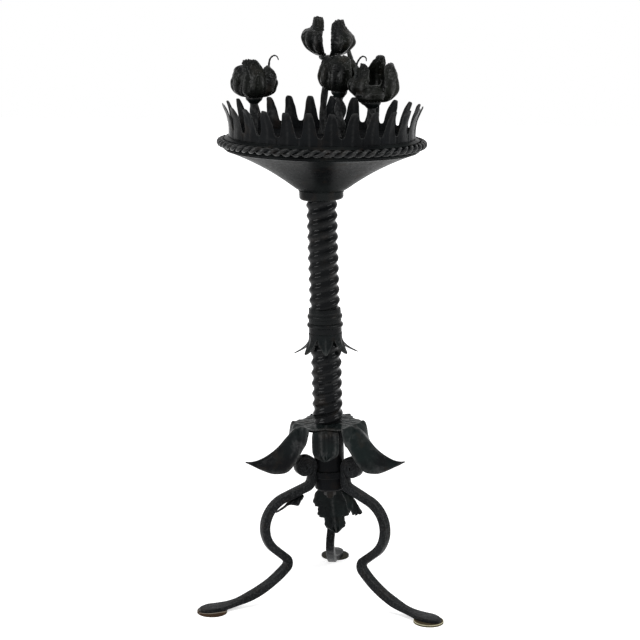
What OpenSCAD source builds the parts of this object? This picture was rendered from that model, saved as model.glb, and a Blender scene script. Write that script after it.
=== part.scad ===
// Wrought-iron torchere candle stand: tripod of scrolled legs, leaf canopy,
// twisted column clamped by one tie rod, and a trumpet pan with a blade crown
// and four repousse blooms. Millimetres, +Z up, floor at z = 0.

/* [Tripod] */
// Side of the square leg bar
bar = 15.5; // [12:0.5:20]
// Radius of the big outward bend at the shoulder, on the bar's centre line
shoulder_r = 56; // [46:1:66]
// Turn of the shoulder bend in degrees
shoulder_turn = 120; // [108:1:126]
// Radius of the tight knee bend, on the bar's centre line
knee_r = 13; // [11:1:20]
// Straight stretch between shoulder and knee
thigh = 29.5; // [25:1:50]
// Radius of the long sweep down to the foot
instep_r = 193.5; // [155:1:225]
// Turn of the instep in degrees
instep_turn = 47; // [40:1:48]
// Straight stretch from the hub to the shoulder bend
shank = 46; // [36:1:60]
// Fall of that stretch below level, in degrees
shank_fall = 20; // [15:0.5:26]
// Turn of the whole tripod about the vertical axis
tripod_turn = 5; // [0:1:30]
// Set of the three pads towards -X of the hub, from the legs having been bent
tripod_sway = 4; // [0:0.5:8]
// Outer radius of the rolled scroll on top of each leg
scroll_r = 22; // [18:0.5:26]
// Thickness of the drawn-out strap in the scroll
scroll_t = 5.6; // [4.5:0.1:6.5]
// Width of the flattened foot
toe_w = 30; // [26:1:40]
// Thickness of the flattened foot
toe_t = 5.5; // [5:0.5:10]
// Diameter of a foot pad
pad_d = 54; // [36:1:60]
// Thickness of a foot pad
pad_t = 4; // [2:0.5:8]

/* [Hub and canopy] */
// Diameter of the hub between the legs
hub_d = 55; // [46:1:66]
// Height of the hub
hub_h = 119; // [95:1:135]
// Height of the binding band round the hub
band_h = 12; // [8:1:16]
// Diameter of the plate that the canopy leaves lie on
plate_d = 118; // [96:1:130]
// Thickness of all leaf sheet
leaf_t = 2.2; // [1.6:0.1:3]
// Reach of a large canopy leaf from the axis
sepal_reach = 164; // [130:1:190]
// Drop of a large canopy leaf from bend to tip
sepal_drop = 50; // [34:1:62]
// Half-width of a large canopy leaf along the sheet
sepal_half_w = 50; // [36:1:58]
// Length of the small canopy leaves below their bend
bract_drop = 50; // [40:1:66]

/* [Column] */
// Lean of the column towards -X, in degrees
column_lean = 2.5; // [0:0.1:4]
// Crest diameter of the twisted shafts
shaft_d = 55.5; // [48:0.5:66]
// Depth of the groove between two strands
groove = 3.2; // [2:0.2:5]
// Lead of the twist: rise of one strand in a full turn
twist_lead = 38.2; // [30:0.1:50]
// Length of the lower twisted shaft
lower_len = 165; // [120:1:220]
// Length of the upper twisted shaft
upper_len = 204; // [150:1:260]
// Diameter of the two ring beads between the shafts
bead_d = 66; // [58:0.5:76]
// Height of one ring bead
bead_h = 18.5; // [14:0.5:24]
// Number of hanging cuff leaves
cuff_leaves = 6; // [4:1:8]
// Length of the cuff leaves
cuff_len = 37; // [30:1:60]
// Diameter of the collar under the pan
collar_d = 79; // [68:1:92]
// Height of the collar under the pan
collar_h = 16; // [12:1:24]
// Diameter of the tie rod
rod_d = 12; // [8:1:16]

/* [Pan and crown] */
// Radius of the pan at its rim band
pan_r = 172; // [150:1:200]
// Height of the trumpet from collar to rim band
pan_h = 72; // [50:1:90]
// Wall of the pan
pan_wall = 2; // [1.5:0.1:3]
// Height of the rim band
rim_h = 20; // [14:1:28]
// Thickness of the rope moulding
rope_d = 13.6; // [10:0.2:16]
// Number of strand crossings seen round the rope, an even number
rope_beads = 64; // [48:2:76]
// Number of blades in the crown
crown_blades = 26; // [16:1:30]
// Height of the crown from seat to tips
crown_h = 58; // [44:1:70]
// Height of the unbroken band at the foot of the crown
crown_band = 11; // [8:1:20]
// How far the blade tips curl outwards
crown_curl = 13; // [4:1:20]
// Thickness of the crown sheet
crown_t = 2; // [1.5:0.1:3]

/* [Blooms] */
// Height of a bloom above its calyx
bloom_h = 62; // [50:1:76]
// Thickness of a petal
petal_t = 2; // [1.5:0.1:3]
// Diameter of a bloom stem
stem_d = 12; // [9:0.5:15]

/* [Hidden] */
eps = 0.01;
fit = 0.3;                      // running clearance round the tie rod and stems
round_fn = 96;

// ---------- Small vector and sheet helpers ----------
function last(list) = list[len(list) - 1];
function unit(v) = v / max(norm(v), 1e-9);
function lerp(a, b, k) = a + (b - a) * k;
function clamp01(k) = min(1, max(0, k));
function smooth(k) = let (c = clamp01(k)) c * c * (3 - 2 * c);

// Points reached along a straight run or an arc in a plane, each as [point, heading]
function run_line(p, h, length, n) =
    [for (i = [1:n]) [p + length * i / n * [cos(h), sin(h)], h]];
function run_arc(p, h, r, turn, n) =
    [for (i = [1:n]) let (a = h + turn * i / n)
        [p + r * sign(turn) * [sin(a) - sin(h), cos(h) - cos(a)], a]];

// Two triangles of the quad between grid points a, b, c, d
function quad(a, b, c, d) = [[a, b, c], [a, c, d]];

// A sheet of even thickness on a grid of points, its columns joined round where closed
module sheet(grid, t, closed = false) {
    rows = len(grid);
    cols = len(grid[0]);
    function at(i, j) = grid[min(rows - 1, max(0, i))][closed ? (j + cols) % cols
        : min(cols - 1, max(0, j))];
    function face_normal(i, j) = unit(cross(at(i + 1, j) - at(i - 1, j), at(i, j + 1) - at(i, j - 1)));
    side = [for (s = [1, -1]) for (i = [0:rows - 1]) for (j = [0:cols - 1])
        at(i, j) + s * t / 2 * face_normal(i, j)];
    half = rows * cols;
    spans = closed ? cols : cols - 1;
    function top(i, j) = i * cols + (j % cols);
    function low(i, j) = half + top(i, j);
    skin = [for (i = [0:rows - 2]) for (j = [0:spans - 1]) for (f = concat(
        quad(top(i, j), top(i, j + 1), top(i + 1, j + 1), top(i + 1, j)),
        quad(low(i, j), low(i + 1, j), low(i + 1, j + 1), low(i, j + 1)))) f];
    ends = [for (j = [0:spans - 1]) for (f = concat(
        quad(top(0, j + 1), top(0, j), low(0, j), low(0, j + 1)),
        quad(top(rows - 1, j), top(rows - 1, j + 1), low(rows - 1, j + 1), low(rows - 1, j)))) f];
    edges = closed ? [] : [for (i = [0:rows - 2]) for (f = concat(
        quad(top(i, 0), top(i + 1, 0), low(i + 1, 0), low(i, 0)),
        quad(top(i + 1, cols - 1), top(i, cols - 1), low(i, cols - 1), low(i + 1, cols - 1)))) f];
    polyhedron(side, concat(skin, ends, edges));
}

// A solid through a list of rings of equal count, capped, or joined round where closed
module loft(rings, closed = false) {
    count = len(rings);
    n = len(rings[0]);
    pts = [for (ring = rings) for (p = ring) p];
    spans = closed ? count : count - 1;
    skin = [for (i = [0:spans - 1]) for (j = [0:n - 1]) for (f = quad(
        i * n + j, ((i + 1) % count) * n + j,
        ((i + 1) % count) * n + (j + 1) % n, i * n + (j + 1) % n)) f];
    caps = closed ? [] : [[for (j = [0:n - 1]) j], [for (j = [n - 1:-1:0]) (count - 1) * n + j]];
    polyhedron(pts, concat(skin, caps));
}

// ---------- Leg line: [radius, height] runs from the hub down to the toe ----------
leg_face = hub_d / 2 + 0.85;                 // the leaning hub just clears the leg
root_bend_r = 14;
line_start = [leg_face + bar / 2, 0];
run_root = run_arc(line_start, -90, root_bend_r, 90 - shank_fall, 4);
run_shank = run_line(last(run_root)[0], last(run_root)[1], shank, 2);
run_shoulder = run_arc(last(run_shank)[0], last(run_shank)[1], shoulder_r, -shoulder_turn, 11);
run_thigh = run_line(last(run_shoulder)[0], last(run_shoulder)[1], thigh, 2);
knee_exit = -instep_turn + 1.5;                // heading of the bar as it leaves the knee
knee_turn = knee_exit - last(run_thigh)[1];
run_knee = run_arc(last(run_thigh)[0], last(run_thigh)[1], knee_r, knee_turn, 7);
run_instep = run_arc(last(run_knee)[0], last(run_knee)[1], instep_r, instep_turn, 9);
pad_r = last(run_instep)[0][0];              // pads stand where the instep ends
leg_z = pad_t + toe_t / 2 + 1.1 - last(run_instep)[0][1];      // lifts the line onto its pad
toe_run = pad_d * 0.33;
pad_edge = pad_r - pad_d / 2;                // the bar has its foot thickness from here on
taper_run = 68;

function bar_t(r) = lerp(bar, toe_t + 2, smooth((r - pad_edge + taper_run) / taper_run));
function bar_w(r) = lerp(bar, toe_w, smooth((r - pad_edge + taper_run / 2) / (taper_run / 2 + pad_d / 2)));

// A station of the leg: [centre, unit thickness axis, width, thickness]
leg_mid = [for (s = concat([[line_start, -90]], run_root, run_shank, run_shoulder, run_thigh))
    [s[0] + [0, leg_z], [sin(s[1]), -cos(s[1])], bar, bar]];
leg_low = [for (s = concat(run_knee, run_instep)) let (outward = s[1] > -100)
    [s[0] + [0, leg_z], [sin(s[1]), -cos(s[1])], outward ? bar_w(s[0][0]) : bar,
        outward ? bar_t(s[0][0]) : bar]];
leg_toe = [for (k = [0.45, 0.75, 0.93, 1]) let (t = lerp(toe_t + 2, toe_t, k))
    [[pad_r + toe_run * k, pad_t + 0.05 + t / 2], [0, -1], toe_w * max(0.3, sqrt(1 - k * k * 0.93)), t]];

// Scroll on top: the bar is drawn out against the hub, then rolled outwards
scroll_turns = 2.3;
scroll_steps = 22;
scroll_gap = 0.8;
scroll_pitch = scroll_t + scroll_gap;
scroll_c = [leg_face + scroll_r, leg_z + scroll_r + 4.5];
leg_scroll = [for (i = [scroll_steps:-1:0]) let (k = i / scroll_steps, a = 180 - 360 * scroll_turns * k,
    rho = scroll_r - scroll_t / 2 - scroll_pitch * scroll_turns * k)
    [scroll_c + rho * [cos(a), sin(a)], [cos(a), sin(a)], bar, scroll_t]];
draw_steps = [[0.75, 6.4], [0.5, 9], [0.25, 13]];
leg_draw = [for (s = draw_steps)
    [[leg_face + s[1] / 2, lerp(leg_z, scroll_c[1], s[0])], [-1, 0], bar, s[1]]];
leg_stations = concat(leg_scroll, leg_draw, leg_mid, leg_low, leg_toe);

// Section of the bar with its worn corners, then one ring of the loft
corner = 0.2;
bar_section = [[1, 1 - corner], [1 - corner, 1], [corner - 1, 1], [-1, 1 - corner],
    [-1, corner - 1], [corner - 1, -1], [1 - corner, -1], [1, corner - 1]] / 2;
function bar_ring(s) = [for (q = bar_section) let (p = s[0] + s[1] * q[1] * s[3])
    [p[0], q[0] * s[2], p[1]]];

// The bent legs carry the hub a little to one side: a shear that is nil at leg_z
module swayed() {
    multmatrix([[1, 0, tripod_sway / leg_z, -tripod_sway], [0, 1, 0, 0], [0, 0, 1, 0], [0, 0, 0, 1]])
        children();
}

module leg(turn) {
    color("#23272a") swayed() rotate([0, 0, turn]) loft([for (s = leg_stations) bar_ring(s)]);
}

leg_angles = [tripod_turn + 200, tripod_turn + 320, tripod_turn + 80];

module foot_pad(turn, tint) {
    color(tint) translate([-tripod_sway, 0, 0]) rotate([0, 0, turn]) translate([pad_r, 0, 0])
        cylinder(d = pad_d, h = pad_t, $fn = round_fn);
}

// ---------- Stack of the column, as heights along its own axis ----------
hub_low = leg_z - 20;
hub_top = hub_low + hub_h;
plate_t = 3;
bract_z = hub_top + plate_t;
sepal_z = bract_z + leaf_t;
lower_z = sepal_z + leaf_t;
bead_z = lower_z + lower_len;
upper_z = bead_z + 2 * bead_h;
collar_z = upper_z + upper_len;
pivot_z = leg_z + 12;                        // the column leans about the leg tops
column_top = pivot_z + (collar_z + collar_h - pivot_z) * cos(column_lean);
pan_x = -(collar_z + collar_h - pivot_z) * sin(column_lean);
pan_z = column_top - collar_d / 2 * sin(column_lean);

module on_column() {
    translate([0, 0, pivot_z]) rotate([0, -column_lean, 0]) translate([0, 0, -pivot_z]) children();
}

module on_pan() {
    translate([pan_x, 0, pan_z]) children();
}

module rod_hole(z, h) {
    translate([0, 0, z - 1]) cylinder(d = rod_d + 2 * fit, h = h + 2, $fn = round_fn);
}

module hub() {
    foot_r = 4;
    color("#1d2022") on_column() difference() {
        rotate_extrude($fn = round_fn) translate([0, hub_low]) union() {
            square([hub_d / 2 - foot_r, hub_h]);
            translate([0, foot_r]) square([hub_d / 2, hub_h - foot_r]);
            translate([hub_d / 2 - foot_r, foot_r]) circle(r = foot_r, $fn = 48);
        }
        rod_hole(hub_low, hub_h);
    }
}

// Binding band, split where the legs rise through it
module hub_band() {
    band_z = hub_low + 24;
    band_t = 3.5;
    gap_w = bar + 1;
    color("#2b2f33") on_column() difference() {
        translate([0, 0, band_z]) cylinder(d = hub_d + 2 * band_t, h = band_h, $fn = round_fn);
        translate([0, 0, band_z - 1]) cylinder(d = hub_d + 0.1, h = band_h + 2, $fn = round_fn);
        for (a = leg_angles) rotate([0, 0, a])
            translate([hub_d / 4, -gap_w / 2, band_z - 1]) cube([hub_d, gap_w, band_h + 2]);
    }
}

// ---------- Leaves: stations are [out, up, half-width, fold in degrees] ----------
across = [-1, -0.55, 0, 0.55, 1];
function leaf_row(s) = [for (v = across) let (d = abs(v) * s[2], fold = s[3] * (0.75 + 0.35 * abs(v)))
    [s[0], sign(v) * d * cos(fold), s[1] - d * sin(fold)]];

module leaf(stations) {
    sheet([for (s = stations) leaf_row(s)], leaf_t);
}

flat_r = hub_d / 2 + 5;                       // the canopy is level out to here, then slopes
bend_r = plate_d / 2 + 3;
sheet_fall = 4;                               // fall of the slope from there to the bend
sepal_stations = [for (s = [[0.00, 0.00, 0.64, 12], [0.06, 0.03, 0.72, 27], [0.20, 0.27, 0.88, 46],
    [0.36, 0.57, 0.90, 51], [0.55, 0.82, 0.72, 50], [0.74, 0.97, 0.44, 42], [0.90, 1.01, 0.20, 28],
    [1.00, 0.98, 0.03, 10]])
    [lerp(bend_r, sepal_reach, s[0]), -sheet_fall - sepal_drop * s[1], sepal_half_w * s[2], s[3]]];
sepal_root = [[rod_d, 0, 9, 0], [flat_r, 0, 17, 0],
    [bend_r - 9, -sheet_fall * 0.7, sepal_half_w * 0.52, 5]];

module sepal(turn) {
    color("#2a2e31") on_column() translate([0, 0, sepal_z + leaf_t / 2]) rotate([0, 0, turn])
        leaf(concat(sepal_root, sepal_stations));
}

bract_stations = [[rod_d, 0, 7, 0], [flat_r, 0, 14, 0], [bend_r - 6, -sheet_fall * 0.8, 24, 2],
    [bend_r + 1, -sheet_fall - 2, 28, 6], [bend_r + 4, -sheet_fall - bract_drop * 0.3, 27, 12],
    [bend_r + 6, -sheet_fall - bract_drop * 0.65, 19, 16],
    [bend_r + 8, -sheet_fall - bract_drop, 1.5, 8]];

module canopy_bracts() {
    color("#30353a") on_column() translate([0, 0, bract_z + leaf_t / 2]) for (a = leg_angles)
        rotate([0, 0, a + 60]) leaf(bract_stations);
}

module canopy_plate() {
    edge_r = plate_d / 2;
    edge_fall = sheet_fall * (edge_r - flat_r) / (bend_r - 6 - flat_r) + fit;
    color("#24282b") on_column() difference() {
        rotate_extrude($fn = round_fn) translate([0, hub_top]) polygon([[0, 0], [flat_r, 0],
            [edge_r, -edge_fall], [edge_r, plate_t - edge_fall], [flat_r, plate_t], [0, plate_t]]);
        rod_hole(hub_top, plate_t);
    }
}

washer_t = 3;
washer_r = hub_d / 2 - 8;                     // the nut's washer under the hub
hang_sway = 6.5;                              // the rear leaf hangs a little to one side

// Acanthus under a side leg follows the shank; the rear one hangs down from the hub
shank_dir = [cos(shank_fall), -sin(shank_fall)];
shank_low = last(run_root)[0] + [0, leg_z] - (bar + leaf_t) / 2 * [sin(shank_fall), cos(shank_fall)];
function side_leaf(stations) = [for (s = stations)
    let (p = shank_low + shank_dir * (shank * 1.5 * s[0])) [p[0], p[1] - s[1], s[2], s[3]]];
curl_leaf = side_leaf([[0.16, 1.8, 6, 4], [0.26, 0.8, 13, 24], [0.36, 0.8, 17, 34], [0.47, 1.2, 15, 34],
    [0.56, 3, 8, 24], [0.68, 7, 3.5, 10], [0.84, 10, 2.5, 5], [0.98, 10, 1.5, 5]]);
droop_leaf = side_leaf([[-0.16, 1.6, 6, 4], [0, 0.5, 10, 14], [0.12, 2, 18, 28], [0.21, 7, 16, 30],
    [0.29, 12, 19, 28], [0.36, 17, 13, 22], [0.41, 22, 9, 14], [0.45, 27, 1.5, 5]]);
hang_leaf = [for (s = [[0, 0, 12, 0], [3, 9, 22, 6], [7, 24, 37, 16], [10, 34, 29, 14],
    [12, 48, 34, 18], [14, 62, 19, 12], [16, 76, 22, 14], [21, 90, 15, 8], [29, 101, 2, 0]])
    [washer_r + leaf_t + s[0], hub_low - leaf_t * 0.6 - s[1], s[2], s[3]]];

module acanthus(turn, stations, sway = 0) {
    color("#343a3c") rotate([0, 0, turn]) translate([0, 0, hub_low]) rotate([sway, 0, 0])
        translate([0, 0, -hub_low]) leaf(stations);
}

// ---------- Fasteners of the tie rod ----------
nut_h = 10;
nut_af = rod_d * 1.6;
rod_low = hub_low - washer_t - nut_h - 5;
rod_high = collar_z + collar_h + 2 * washer_t + nut_h + 6;

module tie_rod() {
    color("#6a6e70") on_column() translate([0, 0, rod_low])
        cylinder(d = rod_d, h = rod_high - rod_low, $fn = round_fn);
}

module hex_nut(h) {
    difference() {
        cylinder(d = nut_af / cos(30), h = h, $fn = 6);
        translate([0, 0, -1]) cylinder(d = rod_d, h = h + 2, $fn = round_fn);
    }
}

module washer(outer) {
    difference() {
        cylinder(d = outer, h = washer_t, $fn = round_fn);
        translate([0, 0, -1]) cylinder(d = rod_d + 4 * fit, h = washer_t + 2, $fn = round_fn);
    }
}

module bottom_washer() {
    color("#555a5c") on_column() translate([0, 0, hub_low - washer_t]) washer(2 * washer_r);
}

module bottom_nut() {
    color("#6a6e70") on_column() translate([0, 0, hub_low - washer_t - nut_h]) hex_nut(nut_h);
}

// ---------- Twisted column ----------
// Section of two strands laid together, sharp in the grooves and round on the crests
section_steps = 16;
strand_section = [for (i = [0:section_steps - 1]) let (a = 360 * i / section_steps)
    (shaft_d / 2 - groove * pow(1 - abs(cos(a)), 1.4)) * [cos(a), sin(a)]];
rings_per_crest = 5;

module twisted(length) {
    count = round(2 * length / twist_lead * rings_per_crest);
    loft([for (i = [0:count]) let (z = length * i / count, a = 360 * z / twist_lead)
        [for (q = strand_section) [q[0] * cos(a) - q[1] * sin(a), q[0] * sin(a) + q[1] * cos(a), z]]]);
}

module shaft(z, length, start_turn) {
    color("#26292c") on_column() difference() {
        translate([0, 0, z]) rotate([0, 0, start_turn]) twisted(length);
        rod_hole(z, length);
    }
}

// A ring bead; neck is the height of the tapered sleeve that rises from it round the shaft
module ring_bead(z, neck) {
    bulge = bead_h / 2;
    sleeve_r = shaft_d / 2 + fit;
    color("#2e3235") on_column() difference() {
        rotate_extrude($fn = round_fn) translate([0, z]) union() {
            square([bead_d / 2 - bulge, bead_h]);
            translate([bead_d / 2 - bulge, bulge]) circle(r = bulge, $fn = 64);
            if (neck > 0) polygon([[sleeve_r, bulge], [bead_d / 2 - 2, bulge], [sleeve_r + 3, bead_h],
                [sleeve_r + 0.8, bead_h + neck], [sleeve_r, bead_h + neck]]);
        }
        rod_hole(z, bead_h);
    }
}

// Cuff: a sheet sleeve under the beads, cut into leaves that flare at their tips
cuff_r = shaft_d / 2 + leaf_t / 2 + fit;
cuff_band = 0.18;
function cuff_flare(k) = 26 * pow(clamp01((k - 0.2) / 0.8), 2.4);
cuff_cols = [-0.5, -0.44, -0.2, 0, 0.2, 0.44];
function cuff_cut(c) = abs(c) > 0.45 ? cuff_band : abs(c) > 0.4 ? 0.4 : abs(c) > 0.1 ? 0.8 : 1;
cuff_rows = [0, 0.5, 0.8, 1];

module leaf_cuff() {
    pitch = 360 / cuff_leaves;
    grid = [for (f = cuff_rows) [for (n = [0:cuff_leaves - 1]) for (c = cuff_cols)
        let (k = f * cuff_cut(c), a = (n + c * (1 - 0.55 * clamp01(k - cuff_band))) * pitch - 90,
            r = cuff_r + cuff_flare(k)) [r * cos(a), r * sin(a), -k * cuff_len]]];
    color("#2b3033") on_column() translate([0, 0, bead_z]) sheet(grid, leaf_t, closed = true);
}

module pan_collar() {
    bulge = 5.5;
    color("#24282b") difference() {
        on_column() difference() {
            rotate_extrude($fn = round_fn) translate([0, collar_z]) union() {
                square([collar_d / 2 - bulge, collar_h]);
                translate([0, bulge]) square([collar_d / 2, collar_h - bulge]);
                translate([collar_d / 2 - bulge, bulge]) circle(r = bulge, $fn = 48);
            }
            rod_hole(collar_z, collar_h);
        }
        // planed level for the pan
        translate([pan_x - collar_d, -collar_d, pan_z]) cube([2 * collar_d, 2 * collar_d, collar_h]);
    }
}

// ---------- Pan ----------
pan_base_t = 3;
pan_base_r = collar_d / 2 + 1;
rim_step = 2.5;
rim_low = pan_h;
rim_top = rim_low + rim_h;
crown_r = pan_r - 10;
seat_z = rim_top + 4;                         // seat of the crown, above the rim band
trumpet = [[0, 2], [0.07, 7.5], [0.23, 21.5], [0.45, 38.5], [0.70, 54.5], [0.93, 67], [1, 70]];
function trumpet_at(s, off) = [lerp(pan_base_r, pan_r - rim_step, s[0]), s[1] / 70 * pan_h + off];

module pan_cone() {
    color("#2d3235") on_pan() difference() {
        rotate_extrude($fn = round_fn) polygon(concat([[0, 0], [pan_base_r, 0]],
            [for (s = trumpet) trumpet_at(s, 0)],
            [for (i = [len(trumpet) - 1:-1:1]) trumpet_at(trumpet[i], pan_wall * 1.25)],
            [[pan_base_r - pan_wall, pan_base_t + pan_wall], [0, pan_base_t + pan_wall]]));
        translate([0, 0, -1]) cylinder(d = rod_d + 3, h = pan_base_t + pan_wall + 2, $fn = round_fn);
    }
}

// Rim band with a bead at its foot, and the sloping flange up to the crown's seat
module pan_rim() {
    flange_in = crown_r - 6;
    bead = 3;
    color("#33383b") on_pan() rotate_extrude($fn = round_fn) union() {
        polygon([[pan_r - rim_step, rim_low + pan_wall * 1.25], [pan_r, rim_low + pan_wall * 1.25],
            [pan_r, rim_top], [crown_r + 3, seat_z], [flange_in, seat_z],
            [flange_in, seat_z - pan_wall], [crown_r + 3, seat_z - pan_wall],
            [pan_r - rim_step, rim_top - pan_wall]]);
        translate([pan_r, rim_low + pan_wall * 1.25 + bead]) circle(r = bead, $fn = 48);
    }
}

floor_r = crown_r - 6;

// A bloom's name, place on the pan, height of its calyx, its shares of the common spread,
// height and cup angle, and then each petal's heading and its share of the bloom's height
BLOOMS = [
    ["left", [-120, -4], 911, [1.00, 1.04, 1.2], [[270, 1], [0, 0.86], [90, 0.95], [180, 0.86]]],
    ["top", [8, 58], 980, [1.27, 1.07, 0.98], [[45, 0.93], [135, 1], [225, 1], [315, 0.93]]],
    ["middle", [29, 8], 923, [0.92, 1.0, 1.2], [[275, 1], [5, 0.95], [95, 0.9], [185, 0.92]]],
    ["right", [85, -42], 909, [1.11, 1.12, 1.14], [[352, 1], [82, 1.0], [172, 0.77], [262, 0.55]]]];
bloom_datum = 911;                            // height of the lowest calyx in the list above
bloom_lift = seat_z + 57;                     // the same calyx above the pan's origin
function bloom_z(b) = bloom_lift + b[2] - bloom_datum;

stem_nut_h = 6;

module pan_floor() {
    color("#1f2325") on_pan() difference() {
        translate([0, 0, seat_z - pan_wall]) cylinder(r = floor_r, h = pan_wall, $fn = round_fn);
        for (b = BLOOMS) translate([b[1][0], b[1][1], seat_z - pan_wall - 1])
            cylinder(d = stem_d * 0.5 + 2 * fit, h = pan_wall + 2, $fn = 48);
    }
}

module top_washer() {
    color("#555a5c") on_pan() translate([0, 0, pan_base_t + pan_wall]) difference() {
        cylinder(d = rod_d * 2.6, h = washer_t, $fn = round_fn);
        translate([0, 0, -1]) cylinder(d = rod_d + 3, h = washer_t + 2, $fn = round_fn);
    }
}

module top_nut() {
    tilt_lift = nut_af * 0.6 * sin(column_lean);
    seat = (pan_z + pan_base_t + pan_wall + washer_t - pivot_z) / cos(column_lean) + pivot_z;
    color("#6a6e70") on_column() translate([0, 0, seat + tilt_lift]) hex_nut(nut_h);
}

// Rope moulding: two strands laid round each other along the rim
rope_r = pan_r + rope_d / 2;
rope_lobe = [1, 0.74, 0.74, 1, 0.74, 0.74];
rope_rings_per_bead = 3;

module rope_ring() {
    count = rope_beads * rope_rings_per_bead;
    mid_z = rim_top - rope_d / 2 + 1;
    color("#3a3f42") on_pan() loft([for (i = [0:count - 1])
        let (a = 360 * i / count, lay = 180 * i / rope_rings_per_bead)
        [for (j = [0:5]) let (q = lay + 60 * j, d = rope_d / 2 * rope_lobe[j],
            r = rope_r + d * cos(q)) [r * cos(a), r * sin(a), mid_z + d * sin(q)]]], closed = true);
}

// Crown of blades: columns across one blade as [place in the pitch, blade height share]
blade_cols = [[-0.5, 0], [-0.37, 0.05], [-0.14, 0.98], [0.14, 1], [0.37, 0.05]];
crown_rows = [0, 0.34, 0.68, 1];
crown_turn = 1.2;                             // a gap between blades stands just left of the front
function crown_out(h) = crown_curl * pow(clamp01((h - crown_band) / (crown_h - crown_band)), 2);

module crown() {
    pitch = 360 / crown_blades;
    grid = [for (f = crown_rows) [for (n = [0:crown_blades - 1]) for (c = blade_cols)
        let (h = f * lerp(crown_band, crown_h, c[1]), a = (n + 0.5 + c[0]) * pitch - 90 - crown_turn,
            r = crown_r + crown_t / 2 + crown_out(h)) [r * cos(a), r * sin(a), seat_z + 0.1 + h]]];
    color("#2b2f32") on_pan() sheet([for (i = [len(grid) - 1:-1:0]) grid[i]], crown_t, closed = true);
}

// ---------- Blooms ----------
calyx_h = 13;

module on_bloom(b) {
    on_pan() translate([b[1][0], b[1][1], bloom_z(b)]) children();
}

module stem(b) {
    tail = stem_nut_h + pan_wall + 2;
    h = bloom_z(b) - seat_z;
    color("#262a2d") on_pan() translate([b[1][0], b[1][1], seat_z]) union() {
        translate([0, 0, -tail]) cylinder(d = stem_d * 0.5, h = tail + 1, $fn = 48);
        cylinder(d1 = stem_d * 1.5, d2 = stem_d, h = 8, $fn = 48);
        cylinder(d1 = stem_d, d2 = stem_d * 0.9, h = h, $fn = 48);
    }
}

module stem_nuts() {
    color("#6a6e70") on_pan() for (b = BLOOMS)
        translate([b[1][0], b[1][1], seat_z - pan_wall - stem_nut_h]) difference() {
            cylinder(d = stem_d * 0.95 / cos(30), h = stem_nut_h, $fn = 6);
            translate([0, 0, -1]) cylinder(d = stem_d * 0.5, h = stem_nut_h + 2, $fn = 48);
        }
}

function calyx_r(b) = stem_d / 2 + 9 * b[3][0];

module calyx(b) {
    base = stem_d / 2;
    lip = calyx_r(b);
    color("#2f3437") on_bloom(b) rotate_extrude($fn = 64) polygon([[0, 0], [base, 0],
        [lerp(base, lip, 0.4), 3], [lip, calyx_h - 3], [lip - 1, calyx_h], [0, calyx_h]]);
}

// A petal as [height, centre offset, cup radius, half-angle] up the bloom
petal_stations = [[0, 8, 7, 66], [0.07, 12, 15, 64], [0.25, 18, 22, 62], [0.46, 18, 22, 60],
    [0.70, 14, 16, 60], [0.88, 12, 13.5, 56], [1.0, 14, 11, 44]];
petal_cols = [-1, -0.5, 0, 0.5, 1];

module petal(spread, height, cup) {
    grid = [for (s = petal_stations) [for (v = petal_cols) let (a = v * s[3] * cup)
        [spread * (s[1] + s[2] * cos(a)), spread * s[2] * sin(a), height * s[0]]]];
    sheet(grid, petal_t);
}

module petals(b) {
    color("#383d40") on_bloom(b) translate([0, 0, calyx_h + petal_t * 0.4]) for (p = b[4])
        rotate([0, 0, p[0]]) petal(b[3][0], bloom_h * b[3][1] * p[1], b[3][2]);
}

// Wire tendril: a thin arc that springs from a bloom's calyx
module tendril(b, turn, reach, lift) {
    wire = 2.6;
    color("#2a2e31") on_bloom(b) rotate([0, 0, turn]) translate([calyx_r(b) + 0.2, 0, calyx_h - 5]) union() {
        rotate([90, 0, 0]) translate([0, reach, 0]) rotate([0, 0, -90])
            rotate_extrude(angle = 80, $fn = 64) translate([reach, 0]) circle(d = wire, $fn = 24);
        translate([reach - eps, 0, reach * (1 - cos(80))]) cylinder(d = wire, h = lift, $fn = 24);
    }
}

// ---------- Assembly, moved so that the origin is the middle of its footprint ----------
toe_spread = [for (a = leg_angles) pad_r * [cos(a), sin(a)] - [tripod_sway, 0]];
pan_reach = rope_r + rope_d / 2;
x_low = min([pan_x - pan_reach, for (p = toe_spread) p[0] - pad_d / 2]);
x_high = max([pan_x + pan_reach, for (p = toe_spread) p[0] + pad_d / 2]);
y_low = min([-pan_reach, for (p = toe_spread) p[1] - pad_d / 2]);
y_high = max([pan_reach, for (p = toe_spread) p[1] + pad_d / 2]);

module placed() {
    translate([-(x_low + x_high) / 2, -(y_low + y_high) / 2, 0]) children();
}

crest_turn = 0;                               // heading of a strand at the lower shaft's foot
upper_turn = crest_turn + 360 * (upper_z - lower_z) / twist_lead;

placed() foot_pad(leg_angles[0], "#7a4a35");  // foot_pad_left
placed() foot_pad(leg_angles[1], "#a8893e");  // foot_pad_right
placed() foot_pad(leg_angles[2], "#4a4f48");  // foot_pad_rear
placed() leg(leg_angles[0]);  // leg_left
placed() leg(leg_angles[1]);  // leg_right
placed() leg(leg_angles[2]);  // leg_rear
placed() hub();
placed() hub_band();
placed() swayed() acanthus(leg_angles[0], curl_leaf);  // acanthus_left
placed() swayed() acanthus(leg_angles[1], droop_leaf);  // acanthus_right
placed() acanthus(leg_angles[2], hang_leaf, -hang_sway);  // acanthus_rear
placed() canopy_plate();
placed() sepal(leg_angles[0]);  // sepal_left
placed() sepal(leg_angles[1]);  // sepal_right
placed() sepal(leg_angles[2]);  // sepal_rear
placed() canopy_bracts();
placed() tie_rod();
placed() bottom_nut();
placed() bottom_washer();
placed() shaft(lower_z, lower_len, crest_turn);  // shaft_lower
placed() leaf_cuff();
placed() ring_bead(bead_z, 0);  // ring_bead_lower
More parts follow.
